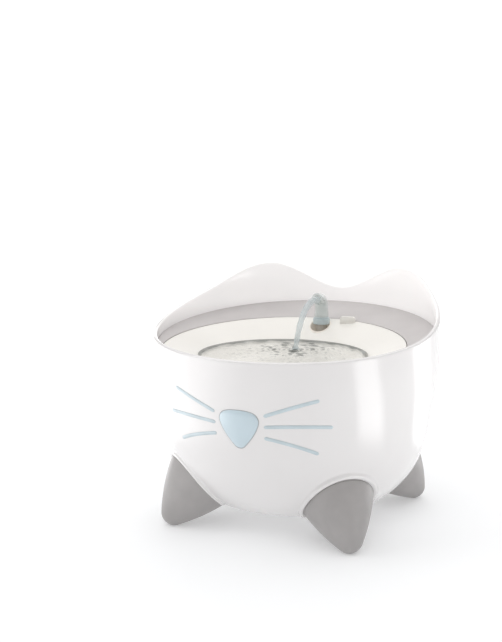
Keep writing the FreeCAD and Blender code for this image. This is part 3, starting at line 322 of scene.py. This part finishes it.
def finish(ob, mat, body, slot, *nodes):
    ob.data.materials.clear()
    ob.data.materials.append(mat)
    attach(ob, body)
    if nodes:
        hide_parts(*nodes)
    return ob


# ------------------------------------------------------------------ feet geometry, shared with the bowl
ALPHA, LEAN = math.radians(36.5), math.radians(42.0)
TIP_R, BULGE_R, FOOT_AT, SOLE = 11.0, 150.0, 110.0, 0.7
CR, CT = -(BULGE_R - TIP_R) * math.cos(ALPHA), (BULGE_R - TIP_R) * math.sin(ALPHA)
FEET = [("foot_front_left", -43.5), ("foot_front_right", 43.5), ("foot_rear_left", -127.0), ("foot_rear_right", 127.0)]


def foot_frame(ang):
    e = np.array([math.sin(math.radians(ang)), -math.cos(math.radians(ang)), 0.0])
    a = np.array([-e[0] * math.sin(LEAN), -e[1] * math.sin(LEAN), math.cos(LEAN)])
    c = e * FOOT_AT + np.array([0, 0, DROP - SOLE + TIP_R])
    s = np.cross(a, e)
    s /= np.linalg.norm(s)
    t = np.cross(s, a)
    return c, a, s, t


def foot_distance(along, rho):
    # signed distance to the foot's skin: a round tip that runs on into a long arc
    tip = -along > rho * math.tan(ALPHA)
    return np.where(tip, np.hypot(along, rho) - TIP_R, np.hypot(along - CT, rho - CR) - BULGE_R)


def smooth(x):
    x = np.clip(x, 0, 1)
    return x * x * (3 - 2 * x)


# ------------------------------------------------------------------ bowl
def bowl():
    th = np.concatenate([np.arange(-42, 42, 0.35), np.arange(42, 318, 0.75)])
    T = np.radians(th)
    sx, cx = np.sin(T), -np.cos(T)
    zt = rim_z(np.mod(th + 180, 360) - 180)
    rows = []
    # outer skin from the flat bottom up
    for r in (0.5, 20, 40, 58, 68):
        rows.append((np.full(len(th), float(r)), np.full(len(th), 22.4)))
    ts = tt_[::1]
    zs = out_z(ts)
    t_low = ts[zs < 132.0]
    pick = np.interp(np.concatenate([np.linspace(0, 78, 84)[:-1], np.linspace(78, t_low[-1], 96)]), ts, ts)
    for t in pick:
        rows.append((np.full(len(th), float(out_r(t))), np.full(len(th), float(out_z(t)))))
    z0 = float(out_z(pick[-1]))
    half = 1.62
    for f in np.linspace(0, 1, 30)[1:]:
        z = z0 + f * (zt - half - z0)
        rows.append((wall_r(z), z))
    ro = wall_r(zt - half)
    mid, wd = (ro + 117.2) / 2, (ro - 117.2) / 2
    for a in np.radians(np.linspace(0, 180, 11)[1:]):
        rows.append((mid + wd * math.cos(a), zt - half + half * math.sin(a)))
    for f in np.linspace(0, 1, 14)[1:]:
        z = (zt - half) + f * (135.0 - (zt - half))
        rows.append((np.full(len(th), 117.2), z))
    n_out = 5 + len(pick)
    for t in np.linspace(in_len * 0.93, 0, 60):
        rows.append((np.full(len(th), float(in_r(t))), np.full(len(th), float(in_z(t)))))
    for r in (50, 25, 0.5):
        rows.append((np.full(len(th), float(r)), np.full(len(th), 25.7)))
    P = np.array([[r * sx, r * cx, z] for r, z in rows]).transpose(0, 2, 1)
    # raised collar round each foot, on the outer skin only
    low = P[:n_out].reshape(-1, 3)
    rr = np.hypot(low[:, 0], low[:, 1])
    e = np.stack([low[:, 0] / rr, low[:, 1] / rr], 1)
    zq = low[:, 2]
    dz = np.interp(zq, zs, np.gradient(out_r(ts), zs + np.arange(len(zs)) * 1e-9))
    nz = -np.where(zq < 22.45, 30.0, dz)
    nl = np.hypot(1, nz)
    N = np.stack([e[:, 0] / nl, e[:, 1] / nl, nz / nl], 1)
    lift = np.zeros(len(low))
    for _n, ang in FEET:
        c, a, s, t = foot_frame(ang)
        v = low - c
        along = v @ a
        rho = np.linalg.norm(v - along[:, None] * a, axis=1)
        sd = foot_distance(along, rho)
        near = (v @ (c / np.linalg.norm(c)) > -75) & (along > -20)
        band = smooth((3.1 - sd) / 1.3) * (1 - 0.75 * smooth((0.35 - sd) / 0.9))
        lift = np.maximum(lift, np.where(near, 1.9 * band, 0))
    lift *= smooth((zq - 22.6) / 4.0)
    P[:n_out] = (low + N * lift[:, None]).reshape(P[:n_out].shape)
    R_, C_ = P.shape[0], P.shape[1]
    faces = grid_faces(R_, C_, True)
    faces.append(tuple(range(C_)))
    faces.append(tuple((R_ - 1) * C_ + j for j in range(C_))[::-1])
    parts = [(P.reshape(-1, 3), faces)]
    return parts


def block(x0, x1, y0, y1, z0, z1, turn=0.0):
    c, s = math.cos(turn), math.sin(turn)
    v = [(x, y, z) for x in (x0, x1) for y in (y0, y1) for z in (z0, z1)]
    v = [(x * c - y * s, x * s + y * c, z) for x, y, z in v]
    f = [(0, 1, 3, 2), (4, 6, 7, 5), (0, 4, 5, 1), (2, 3, 7, 6), (0, 2, 6, 4), (1, 5, 7, 3)]
    return v, f


parts = bowl()
bowl_ob = fix_normals(join("bowl", parts))
finish(bowl_ob, WHITE, "base", "white_gloss", "bowl_shell")

inside = []
for i in range(6):
    v, f = [], []
    turn = math.radians(60 * i)
    levels = np.linspace(96.0, 136.7, 12)
    for z in levels:
        for x, y in ((111.6, -2.0), (float(wall_r(z)) - 1.6, -2.0), (float(wall_r(z)) - 1.6, 2.0), (111.6, 2.0)):
            v.append((x * math.cos(turn) - y * math.sin(turn), x * math.sin(turn) + y * math.cos(turn), z))
    f = grid_faces(len(levels), 4, True)
    f += [(0, 1, 2, 3), tuple((len(levels) - 1) * 4 + k for k in (3, 2, 1, 0))]
    inside.append((v, f))
for _n, ang in FEET:
    a = math.radians(ang)
    v, f = revolve([(2.1, 40.0), (5.6, 40.0), (5.6, 54.2), (4.9, 55.0), (2.6, 55.0), (2.1, 54.4)],
                   96.0 * math.sin(a), -96.0 * math.cos(a), 32)
    inside.append((v, f))
for s in (-1, 1):
    xo, xi = s * 54.5, s * 45.5
    g = 12.5
    inside.append(block(min(xo, s * 50.5), max(xo, s * 50.5), 2 - g - 3, 2 + g + 3, 25.0, 68.0))
    for q in (-1, 1):
        ya, yb = 2 + q * g, 2 + q * (g + 3)
        inside.append(block(min(xo, xi), max(xo, xi), min(ya, yb), max(ya, yb), 25.0, 68.0))
ribs = bevel(fix_normals(join("bowl_inner_ribs", inside)), 0.0006, 2)
finish(ribs, WHITE, "base", "white_gloss")


# ------------------------------------------------------------------ feet
def foot(name, ang):
    c, a, s, t = foot_frame(ang)
    cols = 120
    us = [s * math.cos(2 * math.pi * j / cols) + t * math.sin(2 * math.pi * j / cols) for j in range(cols)]
    verts = []
    # tip: from the pole opposite the axis round to where the long arc takes over
    for q in np.linspace(math.radians(2), math.pi / 2 - ALPHA, 14):
        verts += [c - a * math.cos(q) * TIP_R + u * math.sin(q) * TIP_R for u in us]
    ends = []
    G = ALPHA - np.linspace(0, 0.62, 1600)
    for u in us:
        Q = c + (CT - BULGE_R * np.sin(G))[:, None] * a + (CR + BULGE_R * np.cos(G))[:, None] * u
        r_here, z_here = np.hypot(Q[:, 0], Q[:, 1]), Q[:, 2]
        inside_ = (z_here > 21.6) & (r_here < wall_r(np.clip(z_here, 22.4, 210)) + 0.9)
        k = np.argmax(inside_) if inside_.any() else len(G) - 1
        ends.append(G[k])
    n_side = 44
    for i in range(1, n_side + 1):
        for j, u in enumerate(us):
            g = ALPHA + (ends[j] - ALPHA) * i / n_side
            verts.append(c + (CT - BULGE_R * math.sin(g)) * a + (CR + BULGE_R * math.cos(g)) * u)
    # a small turned-in edge at the seam, then a closing face under the collar
    last = np.array(verts[-cols:])
    mid = last.mean(axis=0)
    for k in (0.985, 0.93):
        verts += list(mid + (last - mid) * k + a * (0.5 if k < 0.95 else 0.25))
    rows = 14 + n_side + 2
    faces = grid_faces(rows, cols, True)
    faces.append(tuple(range(cols)))
    faces.append(tuple((rows - 1) * cols + j for j in range(cols)))
    v = np.array(verts)
    v[:, 2] = np.maximum(v[:, 2], DROP + 0.25)
    ob = fix_normals(add_mesh(name + "_shell", v, faces))
    return finish(ob, FOOT, "base", "warm_grey", name)


for n, ang in FEET:
    foot(n, ang)


pads = []
for n, ang in FEET:
    a = math.radians(ang)
    prof = [(0.3, DROP), (3.4, DROP), (4.0, DROP + 0.06), (4.45, DROP + 0.2), (4.9, DROP + 0.4), (5.25, DROP + 0.6),
            (5.2, DROP + 3.0), (0.3, DROP + 3.0)]
    pads.append(revolve(prof, FOOT_AT * math.sin(a), -FOOT_AT * math.cos(a), 64))
pads = fix_normals(join("sole_pads", pads))
finish(pads, RUBBER, "base", "dark_rubber", "foot_pads")

# ------------------------------------------------------------------ nose and whiskers
def on_wall(x, z, h):
    r = wall_r(z) + h
    return (x, -np.sqrt(np.maximum(r * r - x * x, 0)), z)


def nose_outline(n=120):
    half, low, high = 16.0, 88.1, 118.3
    rc, rt = 7.4, 6.0
    corners = [(half - rc, high - 0.9 - rc, rc), (0, low + rt, rt), (-half + rc, high - 0.9 - rc, rc)]
    pts = []
    for k, (cx, cz, rr) in enumerate(corners):
        lo, hi = ((-24, 80), (212, 328), (100, 204))[k]
        for j in range(5):
            a = math.radians(lo + (hi - lo) * j / 4.0) if k != 1 else math.radians(hi - (hi - lo) * j / 4.0)
            pts.append((cx + rr * math.cos(a), cz + rr * math.sin(a)))
    ring = [(0, high)] + pts[0:5][::-1] + pts[5:10] + pts[10:15][::-1]
    p = np.array(ring + [ring[0]])
    p3 = np.concatenate([p[:-1], p[:-1], p])
    t = np.concatenate([[0], np.cumsum(np.hypot(*np.diff(p3, axis=0).T))])
    fx, fz = nat_spline(t, p3[:, 0]), nat_spline(t, p3[:, 1])
    q = np.linspace(t[len(p) - 1], t[2 * (len(p) - 1)], n, endpoint=False)
    return fx(q), fz(q)


nx, nz = nose_outline()
cxn, czn = 0.0, 106.5
V_, F_ = [], []
levels = [(1.0, -1.2), (1.0, -0.1), (0.992, 0.35), (0.975, 0.72), (0.95, 0.95), (0.90, 1.2), (0.80, 1.6), (0.65, 2.05),
          (0.45, 2.45), (0.22, 2.65), (0.04, 2.7)]
for k, h in levels:
    x, z = cxn + (nx - cxn) * k, czn + (nz - czn) * k
    X, Y, Z = on_wall(x, z, h)
    V_ += list(zip(X, Y, Z))
F_ = grid_faces(len(levels), len(nx), True)
F_.append(tuple((len(levels) - 1) * len(nx) + j for j in range(len(nx))))
F_.append(tuple(range(len(nx)))[::-1])
nose = fix_normals(add_mesh("nose", V_, F_))
finish(nose, BLUE, "base", "blue_window", "nose_window")
# thin shadow gap round the nose: a dark seat set into the wall
V_ = []
for k, h in ((0.97, 0.05), (1.0, 0.12), (1.03, 0.10), (1.045, -0.25)):
    X, Y, Z = on_wall(nx * k, czn + (nz - czn) * k, h)
    V_ += list(zip(X, Y, Z))
seat = fix_normals(add_mesh("nose_seat", V_, grid_faces(4, len(nx), True)))
finish(seat, SOFT, "base", "soft_rubber")

WHISKERS = [((20.0, 115.0), (41.5, 122.6), (61.0, 128.0)), ((20.0, 106.4), (46.0, 107.6), (72.0, 106.8)),
            ((20.0, 97.7), (42.0, 92.6), (62.0, 85.5))]


def whiskers(side, name, node):
    parts_ = []
    for p0, pm, p1 in WHISKERS:
        q = (2 * pm[0] - 0.5 * (p0[0] + p1[0]), 2 * pm[1] - 0.5 * (p0[1] + p1[1]))
        M, K = 60, 13
        verts = []
        for i in range(M):
            u = i / (M - 1.0)
            a, b, c = (1 - u) ** 2, 2 * u * (1 - u), u * u
            s_, z_ = a * p0[0] + b * q[0] + c * p1[0], a * p0[1] + b * q[1] + c * p1[1]
            ds = 2 * (1 - u) * (q[0] - p0[0]) + 2 * u * (p1[0] - q[0])
            dz_ = 2 * (1 - u) * (q[1] - p0[1]) + 2 * u * (p1[1] - q[1])
            g = math.hypot(ds, dz_)
            nn = (-dz_ / g, ds / g)
            edge = min(u, 1 - u) * g
            w = 1.6 * math.sqrt(max(0.02, 1 - max(0, 1 - edge / 1.6) ** 2))
            for k in range(K):
                v = -1 + 2.0 * k / (K - 1)
                h = 0.55 * (1 - abs(v) ** 3) - (0.7 if abs(v) > 0.99 else 0.0)
                ss, zz = s_ + nn[0] * w * v, z_ + nn[1] * w * v
                th = side * ss / 118.0
                r = float(wall_r(zz)) + h * (0.4 + 0.6 * min(1, edge / 1.5))
                verts.append((r * math.sin(th), -r * math.cos(th), zz))
        parts_.append((verts, grid_faces(M, K, False)))
    ob = fix_normals(join(name, parts_))
    return finish(ob, INLAY, "base", "blue_inlay", node)


whiskers(-1, "whiskers_left", "whisker_inlays_left")
whiskers(1, "whiskers_right", "whisker_inlays_right")

# ------------------------------------------------------------------ drinking tray
CY, DR, PR, PZ, E0, ES = -29.5, 101.0, 69.6, 144.3, 156.0, 0.08
DRAIN = (0.0, 61.6, 8.9)


def dish_z(R, cosphi):
    ze = E0 + ES * (CY - DR * cosphi)
    slope = PZ + (R - PR) / (DR - PR) * (ze - PZ)
    foot_ = 134.6 + (R - 57.0) / (PR - 57.0) * (PZ - 134.6)
    floor = 132.2 + (R - 44.0) / 13.0 * 2.4
    base = np.full_like(R, 132.2)
    k = 1.6
    def smax(a, b, w):
        hh = np.clip(0.5 + 0.5 * (a - b) / w, 0, 1)
        return b + (a - b) * hh + w * hh * (1 - hh)
    z = smax(base, floor, k)
    z = smax(z, foot_, k)
    # past the pool's shore the steep side gives way to the gentler slope
    hh = np.clip(0.5 + 0.5 * (z - slope) / 2.2, 0, 1)
    return np.where(R < 58, z, z - (z - slope) * hh - 2.2 * hh * (1 - hh) * 0.5)


def tray():
    cols = 480
    ph = 2 * math.pi * np.arange(cols) / cols
    dx, dy = np.sin(ph), -np.cos(ph)
    b = CY * dy
    reach = -b + np.sqrt(b * b - CY * CY + 116.75 ** 2)
    edge = np.minimum(DR, reach)
    rows = []
    fr = np.concatenate([np.linspace(0.004, 0.40, 10), np.linspace(0.42, 0.72, 40), np.linspace(0.73, 0.985, 30)])
    for f in fr:
        R = edge * f
        rows.append((R, dish_z(R, np.cos(ph))))
    ze = dish_z(edge, np.cos(ph))
    for a in np.radians((20, 45, 70, 90)):
        rows.append((edge - 1.2 * (1 - math.sin(a)), ze - 1.2 * (1 - math.cos(a)) - 0.05))
    rows.append((edge, ze - 3.0))
    rows.append((edge, ze - 5.6))
    rows.append((edge - 2.2, ze - 5.6))
    rows.append((edge - 2.3, ze - 3.2))
    for f in fr[::-1][1::3]:
        R = edge * f
        rows.append((R, dish_z(R, np.cos(ph)) - 2.6))
    P = np.array([[R * dx, CY + R * dy, z] for R, z in rows]).transpose(0, 2, 1)
    R_, C_ = P.shape[0], P.shape[1]
    P = P.reshape(-1, 3)
    faces = grid_faces(R_, C_, True)
    faces.append(tuple(range(C_)))
    faces.append(tuple((R_ - 1) * C_ + j for j in range(C_))[::-1])
    return P, faces


P, F = tray()
# round drain opening under the spout
d = np.hypot(P[:, 0] - DRAIN[0], P[:, 1] - DRAIN[1])
keep = []
for f in F:
    if len(f) > 4 or not all(d[i] < DRAIN[2] for i in f):
        keep.append(f)
used = set()
for f in keep:
    used.update(f)
snap = [i for i in used if d[i] < DRAIN[2]]
for i in snap:
    k = (DRAIN[2] + 0.02) / max(d[i], 1e-6)
    P[i, 0] = DRAIN[0] + (P[i, 0] - DRAIN[0]) * k
    P[i, 1] = DRAIN[1] + (P[i, 1] - DRAIN[1]) * k
dish = fix_normals(add_mesh("tray_dish", P, keep))
finish(dish, TRAY, "tray", "white_gloss", "drinking_tray")

# small finger tab on the dish's rear edge
tab_v, tab_f = [], []
outline = rounded_profile(18.0, 156.6, 32.0, 165.2, 2.4, 5)
for y in (63.6, 63.9, 66.5, 66.8):
    k = 0.97 if y in (63.6, 66.8) else 1.0
    tab_v += [(25.0 + (x - 25.0) * k, y, 160.9 + (z - 160.9) * k) for x, z in outline]
tab_f = grid_faces(4, len(outline), True)
tab_f += [tuple(range(len(outline)))[::-1], tuple(3 * len(outline) + j for j in range(len(outline)))]
tab = fix_normals(add_mesh("finger_tab", tab_v, tab_f))
finish(tab, TRAY, "tray", "white_gloss")

# drain cup below the opening, its lip following the slope
cup_v, cup_f = [], []
cols = 72
prof = [(8.55, None, 0.25), (8.9, None, 0.5), (9.35, None, 0.45), (9.7, None, 0.0), (10.5, 151.0, None), (10.7, 138.4, None),
        (10.3, 138.0, None), (5.6, 138.0, None), (5.4, 138.3, None), (5.4, 140.7, None), (5.8, 141.0, None), (8.4, 141.0, None),
        (8.8, 141.6, None), (8.8, 150.0, None)]
for r, z, hgt in prof:
    for j in range(cols):
        a = 2 * math.pi * j / cols
        x, y = DRAIN[0] + r * math.cos(a), DRAIN[1] + r * math.sin(a)
        cy_off = (65.0 - DRAIN[1]) if r < 6.0 else 0.0
        if z is None:
            dxx, dyy = x, y - CY
            R = np.array([min(math.hypot(dxx, dyy), 99.6)])
            zz = float(dish_z(R, np.array([-dyy / math.hypot(dxx, dyy)]))[0]) + hgt
            cup_v.append((x, y, zz))
        else:
            cup_v.append((x, y + cy_off, z))
n = len(prof)
cup_f = grid_faces(n, cols, True)
for j in range(cols):
    k = (j + 1) % cols
    cup_f.append(((n - 1) * cols + j, (n - 1) * cols + k, k, j))
cup = fix_normals(add_mesh("drain_cup", cup_v, cup_f))
# painted light: the drain cup's shaded interior gets a light taupe colour and a faint emission glow so it reads lit
DRAIN_CUP_GLOW = material("drain_taupe_glow", (0.74, 0.70, 0.64), rough=0.5, vary=0.05, bump=0.05, scale=90)
DRAIN_CUP_GLOW.node_tree.nodes["Principled BSDF"].inputs["Emission Color"].default_value = (0.62, 0.57, 0.50, 1)
DRAIN_CUP_GLOW.node_tree.nodes["Principled BSDF"].inputs["Emission Strength"].default_value = 0.22
finish(cup, DRAIN_CUP_GLOW, "tray", "dark_plastic")

# ------------------------------------------------------------------ spout
SY = 65.0
col = rounded_profile(5.0, 157.0, 7.6, 162.4, 0.8)
ring_notch = revolve(col, 0.0, SY, 64)
collar = fix_normals(join("collar", [ring_notch, revolve(rounded_profile(5.2, 162.2, 6.9, 163.6, 0.5), 0.0, SY, 64)]))
finish(collar, GREYP, "spout", "grey_plastic", "spout_collar")


def tube_along(path, radii, cols=40, bore=None):
    pts = [np.array(p, float) for p in path]
    verts, n = [], len(pts)
    for i, p in enumerate(pts):
        t = pts[min(i + 1, n - 1)] - pts[max(i - 1, 0)]
        t /= np.linalg.norm(t)
        u = np.array([1.0, 0, 0])
        w = np.cross(t, u)
        for j in range(cols):
            a = 2 * math.pi * j / cols
            verts.append(p + radii[i] * (u * math.cos(a) + w * math.sin(a)))
    faces = grid_faces(n, cols, True)
    return verts, faces


path, rad = [], []
for z in np.linspace(162.6, 174.5, 14):
    path.append((0, SY, z))
    rad.append(6.5 - 0.5 * (z - 162.6) / 12)
for a in np.radians(np.linspace(0, 78, 14)[1:]):
    path.append((0, SY - 6.2 * (1 - math.cos(a)), 174.5 + 6.2 * math.sin(a)))
    rad.append(6.0 - 1.2 * a / math.radians(78))
end = np.array(path[-1])
dirn = np.array([0, -math.cos(math.radians(12)), math.sin(math.radians(12))])
for k in np.linspace(0, 8.0, 8)[1:]:
    path.append(tuple(end + dirn * k))
    rad.append(4.8 - 0.15 * k / 8)
outer_v, outer_f = tube_along(path, rad)
inner_v, inner_f = tube_along(path, [r - 1.5 for r in rad])
m_, c_ = len(path), 40
off = len(outer_v)
faces = outer_f + [tuple(i + off for i in q[::-1]) for q in inner_f]
for j in range(c_):
    k = (j + 1) % c_
    faces.append((j, off + j, off + k, k))
    faces.append(((m_ - 1) * c_ + j, (m_ - 1) * c_ + k, off + (m_ - 1) * c_ + k, off + (m_ - 1) * c_ + j))
tube = fix_normals(add_mesh("spout_body", outer_v + inner_v, faces))
finish(tube, CLEAR, "spout", "clear_tube", "spout_tube")

# ------------------------------------------------------------------ water
rng = np.random.default_rng(7)
rows_, cols_ = 90, 256
V_ = []
LAND = (0.5, -1.0)
waves = [(rng.uniform(-50, 50), rng.uniform(-90, 20), rng.uniform(5.5, 11), rng.uniform(0.08, 0.2), rng.uniform(0, 6.28))
         for _ in range(9)]


def ripple(x, y):
    d_ = np.hypot(x - LAND[0], y - LAND[1])
    z = 1.15 * np.exp(-d_ / 20.0) * np.cos(2 * math.pi * d_ / 9.0 + 0.6)
    z += 0.30 * np.exp(-d_ / 70.0) * np.cos(2 * math.pi * d_ / 13.0)
    for wx, wy, wl, amp, p in waves:
        z += amp * np.exp(-d_ / 90.0) * np.sin(2 * math.pi * np.hypot(x - wx, y - wy) / wl + p)
    return z


for i in range(rows_):
    R = 69.9 * (i / (rows_ - 1.0)) ** 0.9 + 0.02
    for j in range(cols_):
        a = 2 * math.pi * j / cols_
        x, y = R * math.cos(a), CY + R * math.sin(a)
        fall = min(1.0, (69.9 - R) / 4.0)
        V_.append((x, y, PZ + 0.02 + float(ripple(x, y)) * fall + 1.6 * (1 - fall) ** 2))
F_ = grid_faces(rows_, cols_, True)
F_.append(tuple(range(cols_)))
pool = add_mesh("pool_water", V_, F_)
finish(pool, WATER, "tray", "clear_tube")

arc = [(52.0, 180.2), (44.0, 180.9), (34.0, 179.6), (25.0, 176.4), (17.5, 171.6), (11.5, 165.5), (6.5, 158.5), (3.0, 151.8),
       (1.0, 147.2), (0.3, 144.0)]
fy, fz_, fl = chord_curve(arc)
q = np.linspace(0, fl, 90)
path = [(0.0, float(fy(t)), float(fz_(t))) for t in q]
rad = [3.5 - 1.4 * (t / fl) + 0.22 * math.sin(t * 0.55) * (t / fl) + (2.2 * max(0, (t - fl + 3.5) / 3.5) ** 2) for t in q]
sv, sf = tube_along(path, rad, 28)
sf.append(tuple(range(28)))
sf.append(tuple(89 * 28 + j for j in range(28))[::-1])
stream = fix_normals(add_mesh("water_stream", sv, sf))
finish(stream, STREAM, "spout", "clear_tube")

# ------------------------------------------------------------------ bevels on carried-over nodes are left as imported
# ------------------------------------------------------------------ studio
me = bpy.data.meshes.new("floor")
bm = bmesh.new()
vs = [bm.verts.new(p) for p in ((-9, -9, 0), (9, -9, 0), (9, 1.8, 0), (-9, 1.8, 0))]
bm.faces.new(vs)
bm.to_mesh(me)
bm.free()
floor = bpy.data.objects.new("floor", me)
bpy.context.scene.collection.objects.link(floor)
floor.location.z = -0.0002
FLOOR = material("floor_paper", (0.74, 0.75, 0.76), rough=0.7, vary=0.004, bump=0.0, scale=3, spec=0.2)
fb = FLOOR.node_tree.nodes["Principled BSDF"]
fb.inputs["Emission Color"].default_value = (1.0, 1.0, 1.0, 1)
# light cards laid flat on the floor round the bowl, which its glossy wall mirrors
ft = FLOOR.node_tree
tc = ft.nodes.new("ShaderNodeTexCoord")
sp = ft.nodes.new("ShaderNodeSeparateXYZ")
ft.links.new(tc.outputs["Object"], sp.inputs["Vector"])
neg = ft.nodes.new("ShaderNodeMath")
neg.operation = "MULTIPLY"
neg.inputs[1].default_value = -1.0
ft.links.new(sp.outputs["Y"], neg.inputs[0])
az = ft.nodes.new("ShaderNodeMath")
az.operation = "ARCTAN2"
ft.links.new(sp.outputs["X"], az.inputs[0])
ft.links.new(neg.outputs["Value"], az.inputs[1])
az01 = ft.nodes.new("ShaderNodeMapRange")
az01.inputs["From Min"].default_value = -math.pi
az01.inputs["From Max"].default_value = math.pi
ft.links.new(az.outputs["Value"], az01.inputs["Value"])
cards = ft.nodes.new("ShaderNodeValToRGB")
stops = [(-150, 0.0), (-125, 0.5), (-48, 0.45), (-15, 0.0), (61, 0.0), (66, 1.0), (80, 1.0), (86, 0.0), (116, 0.0),
         (122, 1.0), (138, 1.0), (145, 0.0)]
el = cards.color_ramp.elements
while len(el) < len(stops):
    el.new(0.5)
for e_, (deg, val) in zip(el, stops):
    e_.position = (deg + 180.0) / 360.0
    e_.color = (val, val, val, 1)
ft.links.new(az01.outputs["Result"], cards.inputs["Fac"])
ln = ft.nodes.new("ShaderNodeVectorMath")
ln.operation = "LENGTH"
ft.links.new(tc.outputs["Object"], ln.inputs[0])
near = ft.nodes.new("ShaderNodeMapRange")
near.interpolation_type = "SMOOTHSTEP"
near.inputs["From Min"].default_value = 0.20
near.inputs["From Max"].default_value = 0.29
ft.links.new(ln.outputs["Value"], near.inputs["Value"])
mul = ft.nodes.new("ShaderNodeMath")
mul.operation = "MULTIPLY"
ft.links.new(cards.outputs["Color"], mul.inputs[0])
ft.links.new(near.outputs["Result"], mul.inputs[1])
add = ft.nodes.new("ShaderNodeMath")
add.operation = "MULTIPLY_ADD"
add.inputs[1].default_value = 2.5
add.inputs[2].default_value = 0.30
ft.links.new(mul.outputs["Value"], add.inputs[0])
ft.links.new(add.outputs["Value"], fb.inputs["Emission Strength"])
floor.data.materials.append(FLOOR)

me = bpy.data.meshes.new("backdrop")
bm = bmesh.new()
vs = [bm.verts.new(p) for p in ((-2.3, 1.8, -0.1), (0.5, 1.8, -0.1), (0.5, 1.8, 1.1), (-2.3, 1.8, 1.1))]
bm.faces.new(vs)
bm.to_mesh(me)
bm.free()
backdrop = bpy.data.objects.new("backdrop", me)
bpy.context.scene.collection.objects.link(backdrop)
BACK = material("backdrop_paper", (0.5, 0.5, 0.5), rough=0.9, vary=0.004, bump=0.0, scale=3, spec=0.0)
bb = BACK.node_tree.nodes["Principled BSDF"]
bb.inputs["Emission Color"].default_value = (1.0, 1.0, 1.0, 1)
bb.inputs["Emission Strength"].default_value = 0.75
backdrop.data.materials.append(BACK)

world = bpy.data.worlds.new("studio")
bpy.context.scene.world = world
world.use_nodes = True
bg = world.node_tree.nodes["Background"]
bg.inputs["Color"].default_value = (1.0, 0.985, 0.98, 1)
bg.inputs["Strength"].default_value = 0.48


def area(name, loc, aim, size, size_y, power, color=(1, 1, 1)):
    li = bpy.data.lights.new(name, "AREA")
    li.shape = "RECTANGLE"
    li.size, li.size_y = size, size_y
    li.energy = power
    li.color = color
    ob = bpy.data.objects.new(name, li)
    bpy.context.scene.collection.objects.link(ob)
    ob.location = loc
    d_ = Vector(aim) - Vector(loc)
    ob.rotation_euler = d_.to_track_quat("-Z", "Y").to_euler()
    return ob


def around(az, dist, z):
    # a place round the bowl; azimuth in degrees from the face, positive to the right
    return (math.sin(math.radians(az)) * dist, -math.cos(math.radians(az)) * dist, z)


area("top", (0.0, 0.5, 1.6), (0, 0.3, 0.0), 2.4, 2.4, 17.0)
area("key_left", around(-62, 1.8, 1.3), (0, 0, 0.1), 1.1, 1.1, 8.0)
area("front_top", (0.3, -1.3, 1.7), (0, 0.05, 0.15), 0.9, 0.9, 4.0)

scene = bpy.context.scene
scene.view_settings.view_transform = "Standard"
scene.view_settings.look = "None"
cam_data = bpy.data.cameras.new("camera")
cam = bpy.data.objects.new("camera", cam_data)
scene.collection.objects.link(cam)
cam.location = (0.294709, -0.764935, 0.290699)
cam.rotation_euler = Vector((-0.397667, 0.904656, -0.153164)).to_track_quat("-Z", "Y").to_euler()
cam_data.sensor_width = 36.0
cam_data.lens = 54.72
cam_data.clip_start = 0.01
scene.camera = cam
